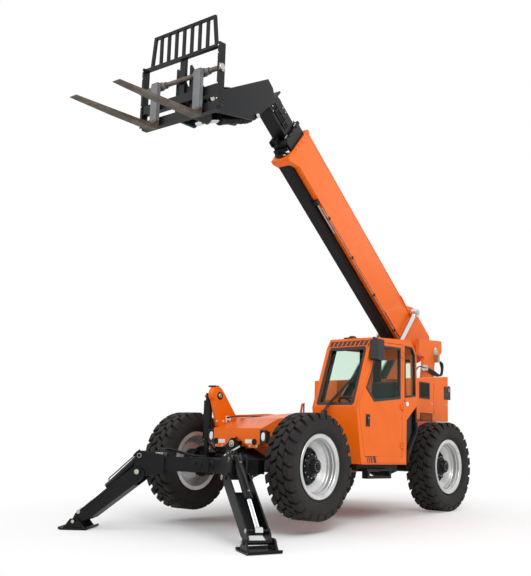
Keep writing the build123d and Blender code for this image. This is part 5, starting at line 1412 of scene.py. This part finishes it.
def build_engine_side():
    """Engine bay on the right: a low cover on gooseneck hinges, a tray and the engine under it."""
    lid = Shape()
    near, far, front, rear = -0.450, -1.150, -0.965, -2.295
    lid.prism([(far, 0.99), (far, 1.27), (far + 0.05, 1.335), (near - 0.02, 1.352), (near - 0.02, 1.338),
               (far + 0.058, 1.321), (far + 0.014, 1.262), (far + 0.014, 0.99)], rear, front, "x", 0.002)
    for x in (front - 0.014, rear):
        lid.prism([(far + 0.006, 1.0), (far + 0.006, 1.262), (far + 0.054, 1.326), (near - 0.03, 1.342),
                   (near - 0.03, 1.25), (far + 0.14, 1.0)], x, x + 0.014, "x", 0.002)
    for x in (-1.80, -2.20):
        lid.prism([(near - 0.04, 1.345), (near - 0.06, 1.36), (near - 0.02, 1.545), (near + 0.035, 1.555),
                   (near + 0.035, 1.535), (near, 1.525), (near - 0.025, 1.345)], x - 0.012, x + 0.012, "x",
                  0.003)
    lid.piece("engine_cover", "engine_lid", "orange", slot="body_paint", replaces=["engine_lid"])
    tray = Shape()
    tray.block((rear, far + 0.004, 0.72), (front, -0.405, 0.745), 0.006)
    tray.block((rear, far + 0.004, 0.745), (front, far + 0.024, 0.984), 0.004)
    for x in (rear, front - 0.02):
        tray.block((x, far + 0.02, 0.745), (x + 0.02, -0.42, 0.97), 0.004)
    for x in (-1.80, -2.20):
        tray.block((x + 0.016, -0.418, 1.30), (x + 0.032, -0.400, 1.53), 0.003)
    tray.piece("engine_bay_tray", "chassis", "black", slot="dark_paint", replaces=["engine_tray"])
    block = Shape()
    block.block((-1.95, -0.96, 0.76), (-1.30, -0.60, 1.10), 0.03)
    block.block((-1.90, -0.92, 1.08), (-1.35, -0.66, 1.24), 0.02)
    block.block((-1.86, -0.89, 1.23), (-1.39, -0.69, 1.31), 0.03)
    block.lathe([(0, 0), (0.10, 0), (0.10, 0.03), (0.05, 0.04), (0.05, 0.07), (0, 0.07)],
                (-1.30, -0.78, 0.95), (1, 0, 0), 32)
    block.lathe([(0, 0), (0.06, 0), (0.06, 0.16), (0, 0.16)], (-1.75, -0.98, 0.90), (0, 0, 1), 28)
    block.piece("engine_block", "chassis", "grey", slot="grey_paint", replaces=["engine"])
    ducts = Shape()
    ducts.pipe([(-1.40, -0.66, 1.15), (-1.34, -0.58, 1.20), (-1.22, -0.56, 1.16), (-1.18, -0.56, 0.95)],
               0.03, 12)
    ducts.pipe([(-1.90, -0.66, 1.0), (-2.0, -0.60, 1.05), (-2.06, -0.58, 0.92)], 0.022, 12)
    ducts.piece("engine_ducts", "chassis", "hose")


# Operators, one for each group of pieces
class SCENE_OT_telehandler_panels(bpy.types.Operator):
    """Round the edges of the frame, boom, cab and box panels"""
    bl_idname = "scene.telehandler_panels"
    bl_label = "Panels"

    def execute(self, context):
        build_panels()
        return {"FINISHED"}


class SCENE_OT_telehandler_running_gear(bpy.types.Operator):
    """Tyres with their tread, rims, hubs, axles and drive shafts"""
    bl_idname = "scene.telehandler_running_gear"
    bl_label = "Running gear"

    def execute(self, context):
        build_wheels()
        build_axles()
        return {"FINISHED"}


class SCENE_OT_telehandler_boom(bpy.types.Operator):
    """Collar, black underside tray that also paints the underside's shade, tubes, hoses and cylinder
    fittings of the boom
    """
    bl_idname = "scene.telehandler_boom"
    bl_label = "Boom"

    def execute(self, context):
        build_boom()
        build_lift_cylinders()
        return {"FINISHED"}


class SCENE_OT_telehandler_carriage(bpy.types.Operator):
    """Carriage, load guard, forks and tilt cylinder fittings"""
    bl_idname = "scene.telehandler_carriage"
    bl_label = "Carriage"

    def execute(self, context):
        build_carriage()
        return {"FINISHED"}


class SCENE_OT_telehandler_outriggers(bpy.types.Operator):
    """Outrigger arms, legs, feet, cylinders and their hoses"""
    bl_idname = "scene.telehandler_outriggers"
    bl_label = "Outriggers"

    def execute(self, context):
        build_outriggers()
        return {"FINISHED"}


class SCENE_OT_telehandler_frame_front(bpy.types.Operator):
    """Front plate, levelling horn, headlamps and blank labels"""
    bl_idname = "scene.telehandler_frame_front"
    bl_label = "Frame front"

    def execute(self, context):
        build_frame_front()
        return {"FINISHED"}


class SCENE_OT_telehandler_cab(bpy.types.Operator):
    """Brow, gaskets, wiper, mirror, door handle, stripes and lamps of the cab"""
    bl_idname = "scene.telehandler_cab"
    bl_label = "Cab"

    def execute(self, context):
        build_cab()
        return {"FINISHED"}


class SCENE_OT_telehandler_seat(bpy.types.Operator):
    """Seat cushions, steering wheel, levers and dash"""
    bl_idname = "scene.telehandler_seat"
    bl_label = "Seat and controls"

    def execute(self, context):
        build_seat()
        build_controls()
        return {"FINISHED"}


class SCENE_OT_telehandler_rear(bpy.types.Operator):
    """Vents, tail lamps, tower hoses and covers"""
    bl_idname = "scene.telehandler_rear"
    bl_label = "Rear boxes"

    def execute(self, context):
        build_rear()
        return {"FINISHED"}


PIECE_OPERATORS = [SCENE_OT_telehandler_panels,
                   SCENE_OT_telehandler_running_gear,
                   SCENE_OT_telehandler_boom,
                   SCENE_OT_telehandler_carriage,
                   SCENE_OT_telehandler_outriggers,
                   SCENE_OT_telehandler_frame_front,
                   SCENE_OT_telehandler_cab,
                   SCENE_OT_telehandler_seat,
                   SCENE_OT_telehandler_rear]


# Stage: the photograph's camera, a pale floor and soft lamps
CAMERA_PLACE = (8.99, 7.88, 1.51)
CAMERA_YAW = radians(39.95)
CAMERA_PITCH = radians(7.88)
FOCAL_PIXELS = 884.5
SENSOR = 36.0


def make_camera():
    """The photograph's camera."""
    data = bpy.data.cameras.new("photo_camera")
    data.sensor_width = SENSOR
    data.lens = FOCAL_PIXELS / PHOTO_SIZE[1] * SENSOR
    camera = bpy.data.objects.new("photo_camera", data)
    bpy.context.scene.collection.objects.link(camera)
    towards = Vector((-cos(CAMERA_YAW) * cos(CAMERA_PITCH), -sin(CAMERA_YAW) * cos(CAMERA_PITCH),
                      sin(CAMERA_PITCH)))
    camera.matrix_world = (GROUND @ Matrix.Translation(CAMERA_PLACE)
                           @ towards.to_track_quat("-Z", "Y").to_matrix().to_4x4())
    bpy.context.scene.camera = camera


def area_lamp(name, place, target, size, power):
    """A square lamp aimed at a point."""
    data = bpy.data.lights.new(name, "AREA")
    data.size = size
    data.energy = power
    lamp = bpy.data.objects.new(name, data)
    bpy.context.scene.collection.objects.link(lamp)
    aim = Vector(target) - Vector(place)
    lamp.matrix_world = Matrix.Translation(place) @ aim.to_track_quat("-Z", "Y").to_matrix().to_4x4()


def make_floor():
    """A pale floor that keeps the shadows."""
    mesh = bpy.data.meshes.new("floor")
    size = 60.0
    mesh.from_pydata([(-size, -size, 0), (size, -size, 0), (size, size, 0), (-size, size, 0)], [],
                     [(0, 1, 2, 3)])
    floor = bpy.data.objects.new("floor", mesh)
    bpy.context.scene.collection.objects.link(floor)
    material = bpy.data.materials.new("pale_floor")
    material.use_nodes = True
    tree = material.node_tree
    shader = tree.nodes["Principled BSDF"]
    shader.inputs["Base Color"].default_value = linear("#FAFAFA")
    shader.inputs["Roughness"].default_value = 0.9
    shader.inputs["Specular IOR Level"].default_value = 0.1
    # the floor fades to plain white away from the machine, as a studio sweep does
    place = add(tree, "ShaderNodeTexCoord")
    far = add(tree, "ShaderNodeVectorMath", None, {0: (place, "Object")}, operation="LENGTH")
    fade = add(tree, "ShaderNodeMapRange", {"From Min": 1.6, "From Max": 5.0}, {"Value": (far, "Value")})
    path = add(tree, "ShaderNodeLightPath")
    seen = add(tree, "ShaderNodeMath", None, {0: (fade, "Result"), 1: (path, "Is Camera Ray")},
               operation="MULTIPLY")
    plain = add(tree, "ShaderNodeEmission", {"Color": (1, 1, 1, 1), "Strength": 1.0})
    both = add(tree, "ShaderNodeMixShader", None, {0: (seen, "Value"), 1: (shader, 0), 2: (plain, 0)})
    tree.links.new(both.outputs[0], tree.nodes["Material Output"].inputs["Surface"])
    mesh.materials.append(material)


def make_world():
    """Soft light from all round, seen as white."""
    world = bpy.data.worlds.new("studio")
    bpy.context.scene.world = world
    world.use_nodes = True
    tree = world.node_tree
    tree.nodes.clear()
    path = add(tree, "ShaderNodeLightPath")
    seen = add(tree, "ShaderNodeMath", None, {0: (path, "Is Camera Ray"), 1: (path, "Is Glossy Ray")},
               operation="MAXIMUM")
    through = add(tree, "ShaderNodeMath", None, {0: (seen, "Value"), 1: (path, "Is Transmission Ray")},
                  operation="MAXIMUM")
    soft = add(tree, "ShaderNodeBackground", {"Color": (1, 1, 1, 1), "Strength": 0.62})
    white = add(tree, "ShaderNodeBackground", {"Color": (1, 1, 1, 1), "Strength": 1.0})
    both = add(tree, "ShaderNodeMixShader", None, {0: (through, "Value")})
    tree.links.new(soft.outputs[0], both.inputs[1])
    tree.links.new(white.outputs[0], both.inputs[2])
    out = add(tree, "ShaderNodeOutputWorld")
    tree.links.new(both.outputs[0], out.inputs["Surface"])


def make_stage():
    """Camera, floor, world and the three lamps."""
    make_camera()
    make_floor()
    make_world()
    key_power = bpy.context.scene.telehandler_sizes.key_power
    area_lamp("key", (7, 9, 10), (-0.5, 0, 2), 6, key_power)
    area_lamp("fill", (9, -7, 7), (0, 0, 2), 8, 240)
    area_lamp("back", (-10, 3, 9), (-1, 0, 2), 8, 320)
    bpy.context.scene.view_settings.view_transform = "Standard"


class TelehandlerColours(bpy.types.PropertyGroup):
    """Main colours of the machine."""
    orange: bpy.props.StringProperty(name="Body", description="Body enamel, as an sRGB hex value",
                                     default="#EF6A06")
    # the bluish tint of this black is a painted sky reflection
    black: bpy.props.StringProperty(name="Arms", description="Black enamel, as an sRGB hex value",
                                    default="#090C11")
    wheel: bpy.props.StringProperty(name="Wheels", description="Wheel paint, as an sRGB hex value",
                                    default="#D6D8D8")
    tyre: bpy.props.StringProperty(name="Tyres", description="Tyre rubber, as an sRGB hex value",
                                   default="#100E0D")
    glass: bpy.props.StringProperty(name="Glass", description="Glass tint, as an sRGB hex value",
                                    default="#F0F9F3")


class TelehandlerSizes(bpy.types.PropertyGroup):
    """Sizes and counts that a user would change."""
    lugs: bpy.props.IntProperty(name="Tread lugs", description="Pitches of tread round a tyre", default=26,
                                min=12, max=60)
    seat_pressure: bpy.props.FloatProperty(name="Seat filling", description="Pressure that fills the seat",
                                           default=4.0, min=0.0, max=20.0)
    seat_voxel: bpy.props.FloatProperty(name="Seat mesh", description="Grid of the seat's cloth",
                                        default=0.009, min=0.004, max=0.03, unit="LENGTH")
    key_power: bpy.props.FloatProperty(name="Key lamp", description="Power of the largest lamp",
                                       default=900.0, min=0.0, unit="POWER")


FINISHES = {}


class SCENE_OT_telehandler_finishes(bpy.types.Operator):
    """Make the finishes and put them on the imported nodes"""
    bl_idname = "scene.telehandler_finishes"
    bl_label = "Finishes"

    def execute(self, context):
        chosen = context.scene.telehandler_colours
        colours = {key: getattr(chosen, key) for key in ("orange", "black", "wheel", "tyre", "glass")}
        FINISHES.update(make_finishes(colours))
        finish_nodes(FINISHES)
        return {"FINISHED"}


class SCENE_OT_telehandler_stage(bpy.types.Operator):
    """Make the camera, floor, world and lamps"""
    bl_idname = "scene.telehandler_stage"
    bl_label = "Stage"

    def execute(self, context):
        make_stage()
        return {"FINISHED"}


OPERATORS = [SCENE_OT_telehandler_stage, SCENE_OT_telehandler_finishes, *PIECE_OPERATORS]


class VIEW3D_PT_telehandler(bpy.types.Panel):
    """Lists the settings and the operators of the telehandler"""
    bl_label = "Telehandler"
    bl_space_type = "VIEW_3D"
    bl_region_type = "UI"
    bl_category = "Telehandler"

    def draw(self, context):
        for settings in (context.scene.telehandler_colours, context.scene.telehandler_sizes):
            for key in settings.__annotations__:
                self.layout.prop(settings, key)
        for operator in OPERATORS:
            self.layout.operator(operator.bl_idname)


CLASSES = [TelehandlerColours, TelehandlerSizes] + OPERATORS + [VIEW3D_PT_telehandler]


def register():
    """Register the classes and their settings."""
    for each in CLASSES:
        bpy.utils.register_class(each)
    bpy.types.Scene.telehandler_colours = bpy.props.PointerProperty(type=TelehandlerColours)
    bpy.types.Scene.telehandler_sizes = bpy.props.PointerProperty(type=TelehandlerSizes)


def unregister():
    """Remove the settings and the classes."""
    del bpy.types.Scene.telehandler_sizes
    del bpy.types.Scene.telehandler_colours
    for each in reversed(CLASSES):
        bpy.utils.unregister_class(each)


def main():
    """Make the whole scene."""
    register()
    for operator in OPERATORS:
        group, name = operator.bl_idname.split(".")
        getattr(getattr(bpy.ops, group), name)()


if __name__ == "__main__":
    main()
